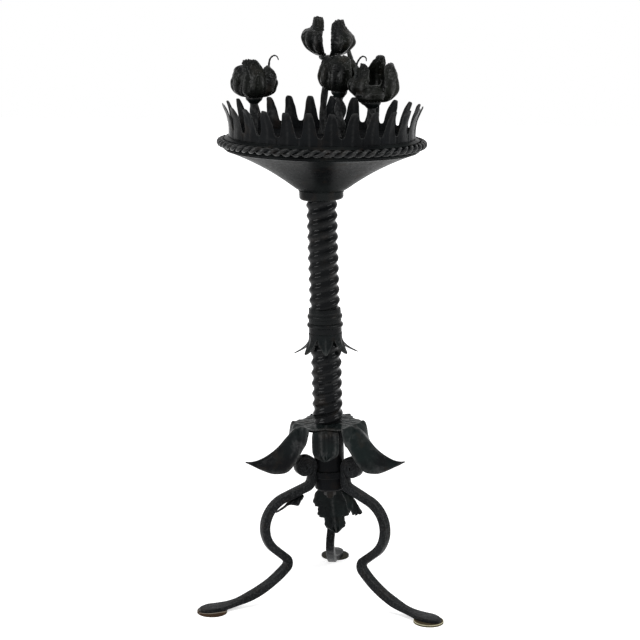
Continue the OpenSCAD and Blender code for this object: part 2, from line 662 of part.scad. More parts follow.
placed() ring_bead(bead_z + bead_h, 7);  // ring_bead_upper
placed() shaft(upper_z, upper_len, upper_turn);  // shaft_upper
placed() pan_collar();
placed() pan_cone();
placed() pan_rim();
placed() pan_floor();
placed() top_washer();
placed() top_nut();
placed() rope_ring();
placed() crown();
placed() stem(BLOOMS[0]);  // stem_left
placed() stem(BLOOMS[1]);  // stem_top
placed() stem(BLOOMS[2]);  // stem_middle
placed() stem(BLOOMS[3]);  // stem_right
placed() stem_nuts();
placed() calyx(BLOOMS[0]);  // calyx_left
placed() calyx(BLOOMS[1]);  // calyx_top
placed() calyx(BLOOMS[2]);  // calyx_middle
placed() calyx(BLOOMS[3]);  // calyx_right
placed() petals(BLOOMS[0]);  // petals_left
placed() petals(BLOOMS[1]);  // petals_top
placed() petals(BLOOMS[2]);  // petals_middle
placed() petals(BLOOMS[3]);  // petals_right
placed() tendril(BLOOMS[0], 45, 24, 36);  // tendril_left
placed() tendril(BLOOMS[3], 217, 26, 36);  // tendril_right
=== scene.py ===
"""Looks of a wrought-iron torchere candle stand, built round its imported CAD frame.

Sizes in the dataclasses are millimetres and degrees, as in the part's source. Every mesh is
built in millimetres in its own maker's place (column, pan or tripod) and set down in metres.
"""

import logging
import math
from collections.abc import Callable, Sequence
from dataclasses import dataclass
from enum import Enum
from typing import Any

import bpy
import bmesh
from mathutils import Matrix, Vector, noise


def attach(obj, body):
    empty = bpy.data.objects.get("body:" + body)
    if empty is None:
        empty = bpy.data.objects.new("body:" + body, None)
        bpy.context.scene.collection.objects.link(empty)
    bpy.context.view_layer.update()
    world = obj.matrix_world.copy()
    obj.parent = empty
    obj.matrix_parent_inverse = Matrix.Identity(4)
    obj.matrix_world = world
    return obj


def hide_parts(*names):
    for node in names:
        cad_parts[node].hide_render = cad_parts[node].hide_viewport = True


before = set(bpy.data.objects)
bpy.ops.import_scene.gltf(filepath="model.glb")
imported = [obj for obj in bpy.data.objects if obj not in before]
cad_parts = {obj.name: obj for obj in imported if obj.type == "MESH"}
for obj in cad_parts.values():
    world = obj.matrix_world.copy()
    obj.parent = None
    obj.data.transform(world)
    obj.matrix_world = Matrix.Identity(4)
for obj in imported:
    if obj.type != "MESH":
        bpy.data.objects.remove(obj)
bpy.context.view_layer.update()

LOG = logging.getLogger("torchere")
MM = 0.001
FRONT = -math.pi / 2
# Per-point mask of bare, rubbed iron; on the petals it also carries a painted highlight on the
# ribs.
WEAR = "wear"
SEED = 7
Colour = tuple[float, float, float]
Triple = tuple[float, float, float]
Rows = list[list[Vector]]
Shares = list[list[float]]
Stations = Sequence[Sequence[float]]


# ---------- Small maths ----------
def lerp(a: float, b: float, k: float) -> float:
    """Value a share k of the way from a to b."""
    return a + (b - a) * k


def clamp01(k: float) -> float:
    """k held between 0 and 1."""
    return min(1.0, max(0.0, k))


def smooth(k: float) -> float:
    """k held between 0 and 1 and eased at both ends."""
    c = clamp01(k)
    return c * c * (3 - 2 * c)


def hump(x: float, width: float) -> float:
    """A bell of height 1 at x = 0."""
    return math.exp(-(x / width) ** 2)


def spread(n: int, low: float = -1.0, high: float = 1.0) -> list[float]:
    """n even steps from low to high."""
    return [lerp(low, high, i / (n - 1)) for i in range(n)]


def eased(stations: Stations, count: int) -> list[list[float]]:
    """Resamples a list of stations on one smooth curve.

    Args:
        stations: rows of numbers the curve passes through.
        count: samples to return.

    Returns:
        The samples, each with as many numbers as a station.
    """
    last = len(stations) - 1
    out = []
    for k in spread(count, 0, last):
        i = min(int(k), last - 1)
        t = k - i
        a, b, c, d = (stations[min(max(i + s, 0), last)] for s in (-1, 0, 1, 2))
        out.append([0.5 * (2 * q + (r - p) * t + (2 * p - 5 * q + 4 * r - s) * t * t
                           + (3 * q - p - 3 * r + s) * t ** 3)
                    for p, q, r, s in zip(a, b, c, d)])
    return out


# ---------- Places of the stand ----------
@dataclass(frozen=True)
class Stand:
    """Sizes that sub-assemblies share, or that place one on another, in mm and degrees."""

    shift_x: float = 13.8026
    shift_y: float = -32.7447
    lean: float = 2.5
    pivot_up: float = 12.0
    leg_z: float = 228.1
    leg_gap: float = 0.85
    pad_r: float = 224.945
    sway: float = 4.0
    pan_x: float = -22.5251
    pan_z: float = 754.286
    leg_turns: tuple[float, float, float] = (205.0, 325.0, 85.0)
    bar: float = 15.5
    hub_r: float = 27.5
    rod_hole_r: float = 6.3
    hub_low: float = 208.1
    shank_fall: float = 20.0
    shank: float = 46.0
    root_r: float = 14.0
    leaf_t: float = 2.2

    @property
    def leg_face(self) -> float:
        """Distance of the bars' inner faces from the tripod's axis."""
        return self.hub_r + self.leg_gap

    @property
    def middle(self) -> Matrix:
        """Matrix of the tripod's own axis."""
        return Matrix.Translation((self.shift_x, self.shift_y, 0))

    @property
    def column(self) -> Matrix:
        """Works out where the leaning column stands.

        Returns:
            Its matrix; heights run along the column's own axis.
        """
        pivot = self.leg_z + self.pivot_up
        turn = Matrix.Rotation(math.radians(-self.lean), 4, "Y")
        return self.middle @ raised(pivot) @ turn @ raised(-pivot)

    @property
    def tripod(self) -> Matrix:
        """Works out where the legs stand.

        Returns:
            Their matrix, sheared so that the pads stand a little to the left.
        """
        shear = Matrix.Identity(4)
        shear[0][2] = self.sway / self.leg_z
        shear[0][3] = -self.sway
        return self.middle @ shear

    @property
    def pan(self) -> Matrix:
        """Matrix of the level pan."""
        return self.middle @ Matrix.Translation((self.pan_x, 0, self.pan_z))

    def leg(self, index: int) -> Matrix:
        """Matrix of one leg, whose own +X points outwards."""
        return self.tripod @ turned(self.leg_turns[index])


def turned(degrees: float) -> Matrix:
    """Turn about the vertical."""
    return Matrix.Rotation(math.radians(degrees), 4, "Z")


def raised(z: float) -> Matrix:
    """Shift upwards."""
    return Matrix.Translation((0, 0, z))


STAND = Stand()


# ---------- Node wiring ----------
class Wiring:
    """Adds nodes to one tree and joins them by value."""

    def __init__(self, tree: bpy.types.NodeTree) -> None:
        """Keeps the tree to work on."""
        self.tree = tree

    def put(self, kind: str, inputs: dict[Any, Any] | None = None,
            **settings: Any) -> bpy.types.Node:
        """Adds a node.

        Args:
            kind: the node's type name.
            inputs: socket name or number to a value, or to the socket that feeds it.
            settings: the node's own properties.

        Returns:
            The node.
        """
        node = self.tree.nodes.new(kind)
        for name, value in settings.items():
            setattr(node, name, value)
        for key, value in (inputs or {}).items():
            if isinstance(value, bpy.types.NodeSocket):
                self.tree.links.new(value, node.inputs[key])
            else:
                node.inputs[key].default_value = value
        return node

    def calc(self, operation: str, *values: Any) -> bpy.types.NodeSocket:
        """Result of one Math node."""
        return self.put("ShaderNodeMath", dict(enumerate(values)), operation=operation).outputs[0]

    def plus(self, a: Any, b: Any) -> bpy.types.NodeSocket:
        """Sum of two values."""
        return self.calc("ADD", a, b)

    def minus(self, a: Any, b: Any) -> bpy.types.NodeSocket:
        """Difference of two values."""
        return self.calc("SUBTRACT", a, b)

    def times(self, a: Any, b: Any) -> bpy.types.NodeSocket:
        """Product of two values."""
        return self.calc("MULTIPLY", a, b)

    def over(self, a: Any, b: Any) -> bpy.types.NodeSocket:
        """One value divided by another."""
        return self.calc("DIVIDE", a, b)

    def long_side(self, a: Any, b: Any) -> bpy.types.NodeSocket:
        """Long side of the right-angled triangle on two values."""
        return self.calc("SQRT", self.plus(self.calc("POWER", a, 2.0), self.calc("POWER", b, 2.0)))

    def scaled(self, vector: Any, share: Any) -> bpy.types.NodeSocket:
        """Vector stretched by a share."""
        return self.put("ShaderNodeVectorMath", {0: vector, "Scale": share},
                        operation="SCALE").outputs[0]

    def noise(self, vector: Any, scale: float, detail: float) -> bpy.types.NodeSocket:
        """Noise from 0 to 1 at a scale in waves per unit."""
        made = self.put("ShaderNodeTexNoise", {"Scale": scale, "Detail": detail, "Vector": vector})
        return made.outputs[0]

    def between(self, value: Any, low: float, high: float, to_low: float = 0.0,
                to_high: float = 1.0) -> bpy.types.NodeSocket:
        """Value stretched from one range to another and held there."""
        return self.put("ShaderNodeMapRange",
                        {0: value, 1: low, 2: high, 3: to_low, 4: to_high}).outputs[0]

    def mixed(self, share: Any, a: Any, b: Any) -> bpy.types.NodeSocket:
        """Mix of two colours."""
        return self.put("ShaderNodeMix", {0: share, 6: a, 7: b}, data_type="RGBA").outputs[2]

    def bump(self, height: Any, depth: float, **normal: Any) -> bpy.types.NodeSocket:
        """Normal bent by a height, on top of another normal where one is given."""
        return self.put("ShaderNodeBump", {"Strength": 1.0, "Distance": depth, "Height": height,
                                           **normal}).outputs[0]


def cleared(owner: Any) -> Wiring:
    """Empties the node tree of a material or a world.

    Args:
        owner: the material or world.

    Returns:
        The wiring of its empty tree.
    """
    owner.use_nodes = True
    owner.node_tree.nodes.clear()
    return Wiring(owner.node_tree)


# ---------- Finishes ----------
class Coat:
    """What every finish has: a name, and a node material that is built once."""

    name: str

    def paint(self, wire: Wiring) -> None:
        """Lays the finish's own nodes."""
        raise NotImplementedError

    def material(self) -> bpy.types.Material:
        """Finds the finish's material, or builds it the first time.

        Returns:
            The material.
        """
        label = self.name + "_finish"
        made = bpy.data.materials.get(label)
        if made is None:
            made = bpy.data.materials.new(label)
            self.paint(cleared(made))
        return made


@dataclass(frozen=True)
class Iron(Coat):
    """One finish of blackened iron: colour, drift of colour, wear, gloss and beaten surface."""

    name: str
    gloss: float
    base: Colour = (0.0034, 0.0037, 0.0041)
    drift: Colour = (0.008, 0.0092, 0.0092)
    drift_scale: float = 17.0
    worn: Colour = (0.064, 0.064, 0.063)
    wear: float = 0.6
    rough: float = 0.34
    worn_rough: float = 0.27
    streak_scale: float = 190.0
    dent_scale: float = 70.0
    dent: float = 0.0010
    grain_scale: float = 700.0
    grain: float = 0.00010
    speck: float = 0.0
    speck_colour: Colour = (0.034, 0.036, 0.037)
    rust: float = 0.25
    rust_scale: float = 41.0
    rust_colour: Colour = (0.030, 0.021, 0.015)

    def paint(self, wire: Wiring) -> None:
        """Lays the iron's nodes: drifting black, specks, rust, bare edges (on the petals also a
        painted highlight on the ribs), dents and grain.

        Args:
            wire: the wiring of the material's empty tree.
        """
        place = wire.put("ShaderNodeTexCoord").outputs["Object"]
        grain = wire.noise(place, self.grain_scale, 4.0)
        streaks = wire.noise(place, self.streak_scale, 5.0)
        patches = wire.between(wire.noise(place, self.drift_scale, 4.0), 0.38, 0.66)
        rusty = wire.times(wire.between(wire.noise(place, self.rust_scale, 6.0), 0.56, 0.74),
                           self.rust)
        edge = wire.put("ShaderNodeAttribute", attribute_name=WEAR).outputs["Fac"]
        # Worn colour where the mask says so: real wear, and on the petals a painted highlight on
        # the ribs.
        rubbed = wire.times(wire.times(edge, self.wear),
                            wire.between(streaks, 0.36, 0.62, 0.25, 1.0))
        specks = wire.between(grain, 0.5, 0.62, 0.0, self.speck)
        colour = wire.mixed(patches, (*self.base, 1), (*self.drift, 1))
        colour = wire.mixed(rusty, colour, (*self.rust_colour, 1))
        colour = wire.mixed(specks, colour, (*self.speck_colour, 1))
        colour = wire.mixed(rubbed, colour, (*self.worn, 1))
        rough = wire.between(streaks, 0.3, 0.7, self.rough * 0.82, self.rough * 1.22)
        rough = wire.plus(rough, wire.times(rusty, 0.25))
        rough = wire.put("ShaderNodeMix", {0: rubbed, 2: rough, 3: self.worn_rough}).outputs[0]
        beaten = wire.bump(wire.noise(place, self.dent_scale, 1.5), self.dent)
        surface = wire.put("ShaderNodeBsdfPrincipled", {
            "Base Color": colour, "Roughness": rough, "Specular IOR Level": self.gloss,
            "Normal": wire.bump(grain, self.grain, Normal=beaten)})
        wire.put("ShaderNodeOutputMaterial", {"Surface": surface.outputs[0]})


@dataclass(frozen=True)
class Felt(Coat):
    """A foot pad's old coloured face, with a paler edge where it is worn or glued."""

    name: str
    face: Colour
    stain: Colour
    rim: Colour
    gloss: float = 0.08
    blotch_scale: float = 120.0
    fibre_scale: float = 800.0
    fibre: float = 0.0005

    def paint(self, wire: Wiring) -> None:
        """Lays the pad's nodes: blotches, the paler edge and fibres.

        Args:
            wire: the wiring of the material's empty tree.
        """
        place = wire.put("ShaderNodeTexCoord").outputs["Object"]
        blotch = wire.between(wire.noise(place, self.blotch_scale, 5.0), 0.35, 0.65)
        fibre = wire.noise(place, self.fibre_scale, 6.0)
        edge = wire.put("ShaderNodeAttribute", attribute_name=WEAR).outputs["Fac"]
        pale = wire.times(edge, wire.between(fibre, 0.35, 0.55, 0.5, 0.95))
        colour = wire.mixed(blotch, (*self.face, 1), (*self.stain, 1))
        surface = wire.put("ShaderNodeBsdfPrincipled", {
            "Base Color": wire.mixed(pale, colour, (*self.rim, 1)),
            "Roughness": wire.between(fibre, 0.3, 0.7, 0.6, 0.85),
            "Specular IOR Level": self.gloss, "Normal": wire.bump(fibre, self.fibre)})
        wire.put("ShaderNodeOutputMaterial", {"Surface": surface.outputs[0]})


class Finish(Enum):
    """Every finish of the stand, by the part it is used on."""

    BAR = Iron("forged_bar", 0.045, drift=(0.009, 0.010, 0.011), rough=0.36, dent_scale=95.0,
               grain_scale=330.0, grain=0.0006, speck=0.45)
    TURNED = Iron("turned_iron", 0.0495, rough=0.27, dent_scale=60.0, wear=0.33)
    TWIST = Iron("twisted_iron", 0.06, drift=(0.004, 0.0045, 0.005), rough=0.16,
                 dent_scale=150.0, dent=0.0003, wear=0.16)
    ROPE = Iron("rope_iron", 0.0825, drift=(0.0045, 0.005, 0.0055), rough=0.18,
                dent_scale=150.0, dent=0.0003, wear=0.4)
    # Painted shade: the hub boss and its band get a darker, less glossy iron for the shade under
    # the canopy.
    DARK = Iron("hub_painted_shade", 0.02625, drift=(0.005, 0.0055, 0.0065), rough=0.32, wear=0.25)
    CROWN = Iron("crown_iron", 0.0285, drift=(0.006, 0.0068, 0.0075), rough=0.28, dent=0.0008,
                 wear=0.35)
    SHEET = Iron("pan_sheet", 0.012, rough=0.32, dent_scale=34.0, dent=0.0003, wear=0.3)
    DULL = Iron("pan_inside", 0.003, drift=(0.005, 0.0055, 0.006), rough=0.7, wear=0.0)
    LEAF = Iron("beaten_leaf", 0.048, drift=(0.006, 0.009, 0.0088), rough=0.30,
                dent_scale=85.0, dent=0.0014)
    # Painted highlight: besides real wear at edges and tips, this finish lights the tops of the
    # ribs at mid-belly.
    PETAL_WITH_PAINTED_HIGHLIGHT = Iron("beaten_petal_with_painted_highlight", 0.05625, drift=(0.007, 0.0078, 0.0062), rough=0.24,
                 dent_scale=150.0, dent=0.0018)
    STEEL = Iron("blackened_steel", 0.075, base=(0.006, 0.006, 0.006),
                 drift=(0.012, 0.011, 0.010), rust=0.5)
    PAD_BROWN = Felt("pad_brown", face=(0.038, 0.021, 0.010), stain=(0.023, 0.013, 0.007),
                     rim=(0.42, 0.38, 0.32))
    PAD_OCHRE = Felt("pad_ochre", face=(0.060, 0.046, 0.022), stain=(0.034, 0.027, 0.016),
                     rim=(0.58, 0.55, 0.38))
    PAD_OLIVE = Felt("pad_olive", face=(0.026, 0.024, 0.018), stain=(0.016, 0.015, 0.011),
                     rim=(0.12, 0.12, 0.10))

    @property
    def material(self) -> bpy.types.Material:
        """The finish's material."""
        return self.value.material()


# ---------- Meshes ----------
def skin(rows: Rows, wear: Shares | None = None, across: bool = False, along: bool = False,
         caps: bool = False) -> bpy.types.Mesh:
    """Covers a grid of points with quads.

    Args:
        rows: rows of points, all of one length.
        wear: how bare each point is rubbed, 0 to 1.
        across: join the last column to the first.
        along: join the last row to the first.
        caps: close the first and last rows with a face each.

    Returns:
        The mesh, in millimetres.
    """
    count, width = len(rows), len(rows[0])
    faces = [(i * width + j, i * width + (j + 1) % width,
              (i + 1) % count * width + (j + 1) % width, (i + 1) % count * width + j)
             for i in range(count if along else count - 1)
             for j in range(width if across else width - 1)]
    if caps:
        faces += [tuple(range(width - 1, -1, -1)), tuple(range((count - 1) * width, count * width))]
    mesh = bpy.data.meshes.new("skin")
    mesh.from_pydata([p for row in rows for p in row], [], faces)
    if wear:
        rub(mesh, [w for row in wear for w in row])
    if across and (along or caps):
        face_out(mesh)
    return mesh


def rub(mesh: bpy.types.Mesh, wear: Sequence[float]) -> None:
    """Writes how bare each point of a mesh is rubbed."""
    mesh.attributes.new(WEAR, "FLOAT", "POINT").data.foreach_set("value", wear)


def face_out(mesh: bpy.types.Mesh) -> None:
    """Merges doubles and turns the faces of a closed mesh outwards.

    Args:
        mesh: the mesh, changed in place.
    """
    work = bmesh.new()
    work.from_mesh(mesh)
    bmesh.ops.remove_doubles(work, verts=work.verts, dist=1e-4)
    bmesh.ops.recalc_face_normals(work, faces=work.faces)
    work.to_mesh(mesh)
    work.free()


def polar(r: float, a: float, z: float) -> Vector:
    """Point at a radius, an angle in radians and a height."""
    return Vector((r * math.cos(a), r * math.sin(a), z))


def around(outline: Sequence[Vector], angles: Sequence[float]) -> Rows:
    """Sets an upright outline of [radius, height] at each angle about the vertical axis."""
    return [[polar(p.x, a, p.y) for p in outline] for a in angles]


def raised_along_normals(rows: Rows, height: Callable[[float, float], float]) -> Rows:
    """Moves each point of an open grid along the sheet's own normal.

    Args:
        rows: the grid, with u running along the rows and v across.
        height: height to move by, from u in 0..1 and v in -1..1.

    Returns:
        The moved grid.
    """
    count, width = len(rows), len(rows[0])
    out = []
    for i, row in enumerate(rows):
        moved = []
        for j, point in enumerate(row):
            down = rows[min(i + 1, count - 1)][j] - rows[max(i - 1, 0)][j]
            side = row[min(j + 1, width - 1)] - row[max(j - 1, 0)]
            normal = down.cross(side)
            if normal.length > 1e-9:
                normal.normalize()
            moved.append(point + normal * height(i / (count - 1), 2 * j / (width - 1) - 1))
        out.append(moved)
    return out


def shown(name: str, data: bpy.types.ID) -> bpy.types.Object:
    """Makes an object and links it to the scene.

    Args:
        name: the object's name.
        data: its mesh, lamp or camera.

    Returns:
        The object.
    """
    made = bpy.data.objects.new(name, data)
    bpy.context.scene.collection.objects.link(made)
    return made


def evaluated(mesh: bpy.types.Mesh, prepare: Callable[[bpy.types.Object], None]) -> bpy.types.Mesh:
    """Runs modifiers on a mesh and returns the plain result.

    Args:
        mesh: the mesh to start from.
        prepare: adds the modifiers to the object it is given.

    Returns:
        A new mesh with no modifier.
    """
    held = shown("held", mesh)
    prepare(held)
    graph = bpy.context.evaluated_depsgraph_get()
    made = bpy.data.meshes.new_from_object(held.evaluated_get(graph), depsgraph=graph,
                                           preserve_all_data_layers=True)
    held.modifiers.clear()
    bpy.data.objects.remove(held)
    return made


def thickened(mesh: bpy.types.Mesh, thickness: float) -> bpy.types.Mesh:
    """Gives a sheet its thickness about its middle and rounds it.

    Args:
        mesh: the sheet.
        thickness: its thickness in millimetres.

    Returns:
        The closed mesh.
    """
    def prepare(held: bpy.types.Object) -> None:
        """Adds the wall and its rounding.

        Args:
            held: the object that holds the sheet.
        """
        wall = held.modifiers.new("wall", "SOLIDIFY")
        wall.thickness = thickness
        wall.offset = 0
        rounder = held.modifiers.new("round", "SUBSURF")
        rounder.levels = rounder.render_levels = 1

    return evaluated(mesh, prepare)


def joined(meshes: Sequence[bpy.types.Mesh]) -> bpy.types.Mesh:
    """Makes one mesh out of several.

    Args:
        meshes: the meshes, left as they are.

    Returns:
        The new mesh.
    """
    work = bmesh.new()
    for mesh in meshes:
        work.from_mesh(mesh)
    made = bpy.data.meshes.new("joined")
    work.to_mesh(made)
    work.free()
    return made


def placed(mesh: bpy.types.Mesh, matrix: Matrix) -> bpy.types.Mesh:
    """Moves a mesh and returns it."""
    mesh.transform(matrix)
    return mesh


def rounded(corners: Sequence[Triple], steps: int = 4) -> tuple[list[Vector], list[float]]:
    """Rounds the corners of a closed outline.

    Args:
        corners: [x, y, radius] of each corner in order; radius 0 keeps it sharp.
        steps: points on each rounded corner, less one.

    Returns:
        The outline's points, and how far each one stands out on an outer corner, 0 to 1.
    """
    points, bare = [], []
    area = sum(a[0] * b[1] - b[0] * a[1] for a, b in zip(corners, [*corners[1:], corners[0]]))
    for i, (x, y, radius) in enumerate(corners):
        here = Vector((x, y))
        back = Vector(corners[i - 1][:2]) - here
        ahead = Vector(corners[(i + 1) % len(corners)][:2]) - here
        reach = min(radius, back.length * 0.45, ahead.length * 0.45)
        if reach < 1e-6:
            points.append(here)
            bare.append(0.0)
            continue
        start, end = here + back.normalized() * reach, here + ahead.normalized() * reach
        stands_out = (ahead.x * back.y - ahead.y * back.x) * area > 0
        for k in spread(steps + 1, 0, 1):
            points.append(start.lerp(here, k).lerp(here.lerp(end, k), k))
            bare.append(math.sin(math.pi * k) if stands_out else 0.0)
    return points, bare


def lathed(corners: Sequence[Triple], steps: int = 144) -> bpy.types.Mesh:
    """Turns a closed outline about the vertical axis.

    Args:
        corners: [radius, height, corner radius] of each corner in order.
        steps: points round the axis.

    Returns:
        The closed mesh.
    """
    outline, bare = rounded(corners)
    rows = around(outline, [2 * math.pi * i / steps for i in range(steps)])
    return skin(rows, [bare] * steps, across=True, along=True)


def swept(path: Sequence[Vector], radii: Sequence[float], ridges: int, depth: float,
          twist: float, round_count: int = 16) -> bpy.types.Mesh:
    """Sweeps a ridged section along a path.

    Args:
        path: points along the middle.
        radii: radius at each point.
        ridges: ridges round the section; 2 makes it flat.
        depth: share of the radius that the ridges rise.
        twist: turn of the ridges from end to end, in radians.
        round_count: points round the section.

    Returns:
        The closed mesh.
    """
    rows, wear = [], []
    side = Vector((0, 1, 0))
    for i, (point, r) in enumerate(zip(path, radii)):
        way = (path[min(i + 1, len(path) - 1)] - path[max(i - 1, 0)]).normalized()
        side = (side - way * side.dot(way)).normalized()
        up = way.cross(side)
        row, bare = [], []
        for a in (math.tau * j / round_count for j in range(round_count)):
            ridge = math.cos(ridges * (a + twist * i / len(path)))
            spoke = side * math.cos(a) + up * math.sin(a)
            row.append(point + spoke * r * (1 + depth * ridge))
            bare.append(0.3 + 0.5 * max(0.0, ridge))
        rows.append(row)
        wear.append(bare)
    return skin(rows, wear, across=True, caps=True)


def piece(name: str, mesh: bpy.types.Mesh, matrix: Matrix, finish: Finish,
          nodes: Sequence[str], sharp: float = 40.0) -> bpy.types.Object:
    """Sets a finished mesh down in the stand.

    Args:
        name: the piece's name.
        mesh: its mesh in millimetres.
        matrix: its place.
        finish: its finish.
        nodes: the CAD nodes that it stands for.
        sharp: edges bent by more than this many degrees stay sharp.

    Returns:
        The piece.
    """
    mesh.transform(Matrix.Scale(MM, 4) @ matrix)
    mesh.name = name
    mesh.materials.clear()
    mesh.materials.append(finish.material)
    mesh.polygons.foreach_set("material_index", [0] * len(mesh.polygons))
    mesh.polygons.foreach_set("use_smooth", [True] * len(mesh.polygons))
    mesh.set_sharp_from_angle(angle=math.radians(sharp))
    made = shown(name, mesh)
    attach(made, "root")
    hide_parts(*nodes)
    LOG.info("%s: %d faces for %s", name, len(mesh.polygons), ", ".join(nodes))
    return made


# ---------- Geometry Nodes ----------
def new_group(name: str, sockets: dict[str, str]) -> tuple[Wiring, dict[str, bpy.types.NodeSocket]]:
    """Starts a geometry tree.

    Args:
        name: the tree's name.
        sockets: input name to socket kind, such as Float or Object.

    Returns:
        The wiring, and the inputs by name.
    """
    tree = bpy.data.node_groups.new(name, "GeometryNodeTree")
    for label, kind in {**sockets, "Material": "Material"}.items():
        tree.interface.new_socket(name=label, in_out="INPUT", socket_type="NodeSocket" + kind)
    tree.interface.new_socket(name="Geometry", in_out="OUTPUT", socket_type="NodeSocketGeometry")
    wire = Wiring(tree)
    entry = wire.put("NodeGroupInput")
    return wire, {label: entry.outputs[label] for label in [*sockets, "Material"]}


def end_group(wire: Wiring, geometry: bpy.types.NodeSocket, given: dict[str, bpy.types.NodeSocket],
              bare: Any = None) -> bpy.types.NodeTree:
    """Ends a geometry tree with its wear, real geometry, smooth faces and material.

    Args:
        wire: the tree's wiring.
        geometry: what the tree has made.
        given: the tree's inputs by name.
        bare: how bare each point is rubbed, where the tree says so.

    Returns:
        The tree.
    """
    if bare is not None:
        geometry = wire.put("GeometryNodeStoreNamedAttribute",
                            {"Geometry": geometry, "Name": WEAR, "Value": bare},
                            data_type="FLOAT", domain="POINT").outputs[0]
    real = wire.put("GeometryNodeRealizeInstances", {"Geometry": geometry})
    soft = wire.put("GeometryNodeSetShadeSmooth", {"Geometry": real.outputs[0]})
    dressed = wire.put("GeometryNodeSetMaterial",
                       {"Geometry": soft.outputs[0], "Material": given["Material"]})
    wire.put("NodeGroupOutput", {"Geometry": dressed.outputs[0]})
    return wire.tree


def grown(tree: bpy.types.NodeTree, values: dict[str, Any], finish: Finish) -> bpy.types.Mesh:
    """Runs a geometry tree.

    Args:
        tree: the tree.
        values: input name to value.
        finish: finish of the result.

    Returns:
        The plain mesh, in millimetres.
    """
    def prepare(held: bpy.types.Object) -> None:
        """Adds the tree and sets its inputs.

        Args:
            held: the object that runs the tree.
        """
        modifier = held.modifiers.new("grow", "NODES")
        modifier.node_group = tree
        for item in tree.interface.items_tree:
            if item.in_out == "INPUT":
                modifier[item.identifier] = {**values, "Material": finish.material}[item.name]

    return evaluated(bpy.data.meshes.new("seed"), prepare)


def twisted_bar_tree() -> bpy.types.NodeTree:
    """Builds the tree of a bar of two strands laid round each other, standing on z = 0.

    Returns:
        The tree.
    """
    wire, given = new_group("twisted bar", {
        "Length": "Float", "Radius": "Float", "Groove": "Float", "Lead": "Float",
        "Turn": "Float", "Unevenness": "Float", "Around": "Int", "Up": "Int"})
    tube = wire.put("GeometryNodeMeshCylinder", {
        "Vertices": given["Around"], "Side Segments": given["Up"],
        "Radius": given["Radius"], "Depth": given["Length"]}, fill_type="TRIANGLE_FAN")
    at = wire.put("GeometryNodeInputPosition").outputs[0]
    x, y, z = wire.put("ShaderNodeSeparateXYZ", {0: at}).outputs
    height = wire.plus(z, wire.times(given["Length"], 0.5))
    climb = wire.times(wire.over(height, given["Lead"]), math.tau)
    phase = wire.minus(wire.minus(wire.calc("ARCTAN2", y, x), climb), given["Turn"])
    crest = wire.calc("ABSOLUTE", wire.calc("COSINE", phase))
    sunk = wire.times(wire.minus(1.0, wire.calc("POWER", crest, 2.2)), given["Groove"])
    uneven = wire.times(wire.minus(wire.noise(at, 0.09, 3.0), 0.5), given["Unevenness"])
    radius = wire.plus(wire.minus(given["Radius"], sunk), uneven)
    share = wire.over(radius, given["Radius"])
    moved = wire.put("ShaderNodeCombineXYZ", {
        0: wire.times(x, share), 1: wire.times(y, share), 2: height})
    shaped = wire.put("GeometryNodeSetPosition", {
        "Geometry": tube.outputs["Mesh"], "Position": moved.outputs[0]})
    return end_group(wire, shaped.outputs[0], given, wire.calc("POWER", crest, 12.0))


def rope_tree() -> bpy.types.NodeTree:
    """Builds the tree of two strands laid round each other along a circle.

    Returns:
        The tree.
    """
    wire, given = new_group("laid rope", {
        "Radius": "Float", "Strand": "Float", "Offset": "Float", "Turns": "Float",
        "Points": "Int", "Facets": "Int"})
    circle = wire.put("GeometryNodeCurvePrimitiveCircle",
                      {"Resolution": given["Points"], "Radius": given["Radius"]})
    cord = wire.put("GeometryNodeCurvePrimitiveCircle",
                    {"Resolution": given["Facets"], "Radius": given["Strand"]})
    index = wire.put("GeometryNodeInputIndex").outputs[0]
    at = wire.put("GeometryNodeInputPosition").outputs[0]
    outward = wire.put("ShaderNodeVectorMath", {0: at}, operation="NORMALIZE").outputs[0]
    turn = wire.times(wire.times(index, math.tau), wire.over(given["Turns"], given["Points"]))
    join = wire.put("GeometryNodeJoinGeometry")
    for strand in (0.0, math.pi):
        phase = wire.plus(turn, strand)
        out = wire.scaled(outward, wire.times(wire.calc("COSINE", phase), given["Offset"]))
        up = wire.put("ShaderNodeCombineXYZ",
                      {2: wire.times(wire.calc("SINE", phase), given["Offset"])})
        shift = wire.put("ShaderNodeVectorMath", {0: out, 1: up.outputs[0]}, operation="ADD")
        laid = wire.put("GeometryNodeSetPosition",
                        {"Geometry": circle.outputs[0], "Offset": shift.outputs[0]})
        tube = wire.put("GeometryNodeCurveToMesh",
                        {"Curve": laid.outputs[0], "Profile Curve": cord.outputs[0]})
        wire.tree.links.new(tube.outputs[0], join.inputs[0])
    x, y, z = wire.put("ShaderNodeSeparateXYZ", {0: at}).outputs
    far = wire.long_side(wire.minus(wire.long_side(x, y), given["Radius"]), z)
    reach = wire.over(far, wire.plus(given["Offset"], given["Strand"]))
    return end_group(wire, join.outputs[0], given, wire.between(reach, 0.84, 1.0))


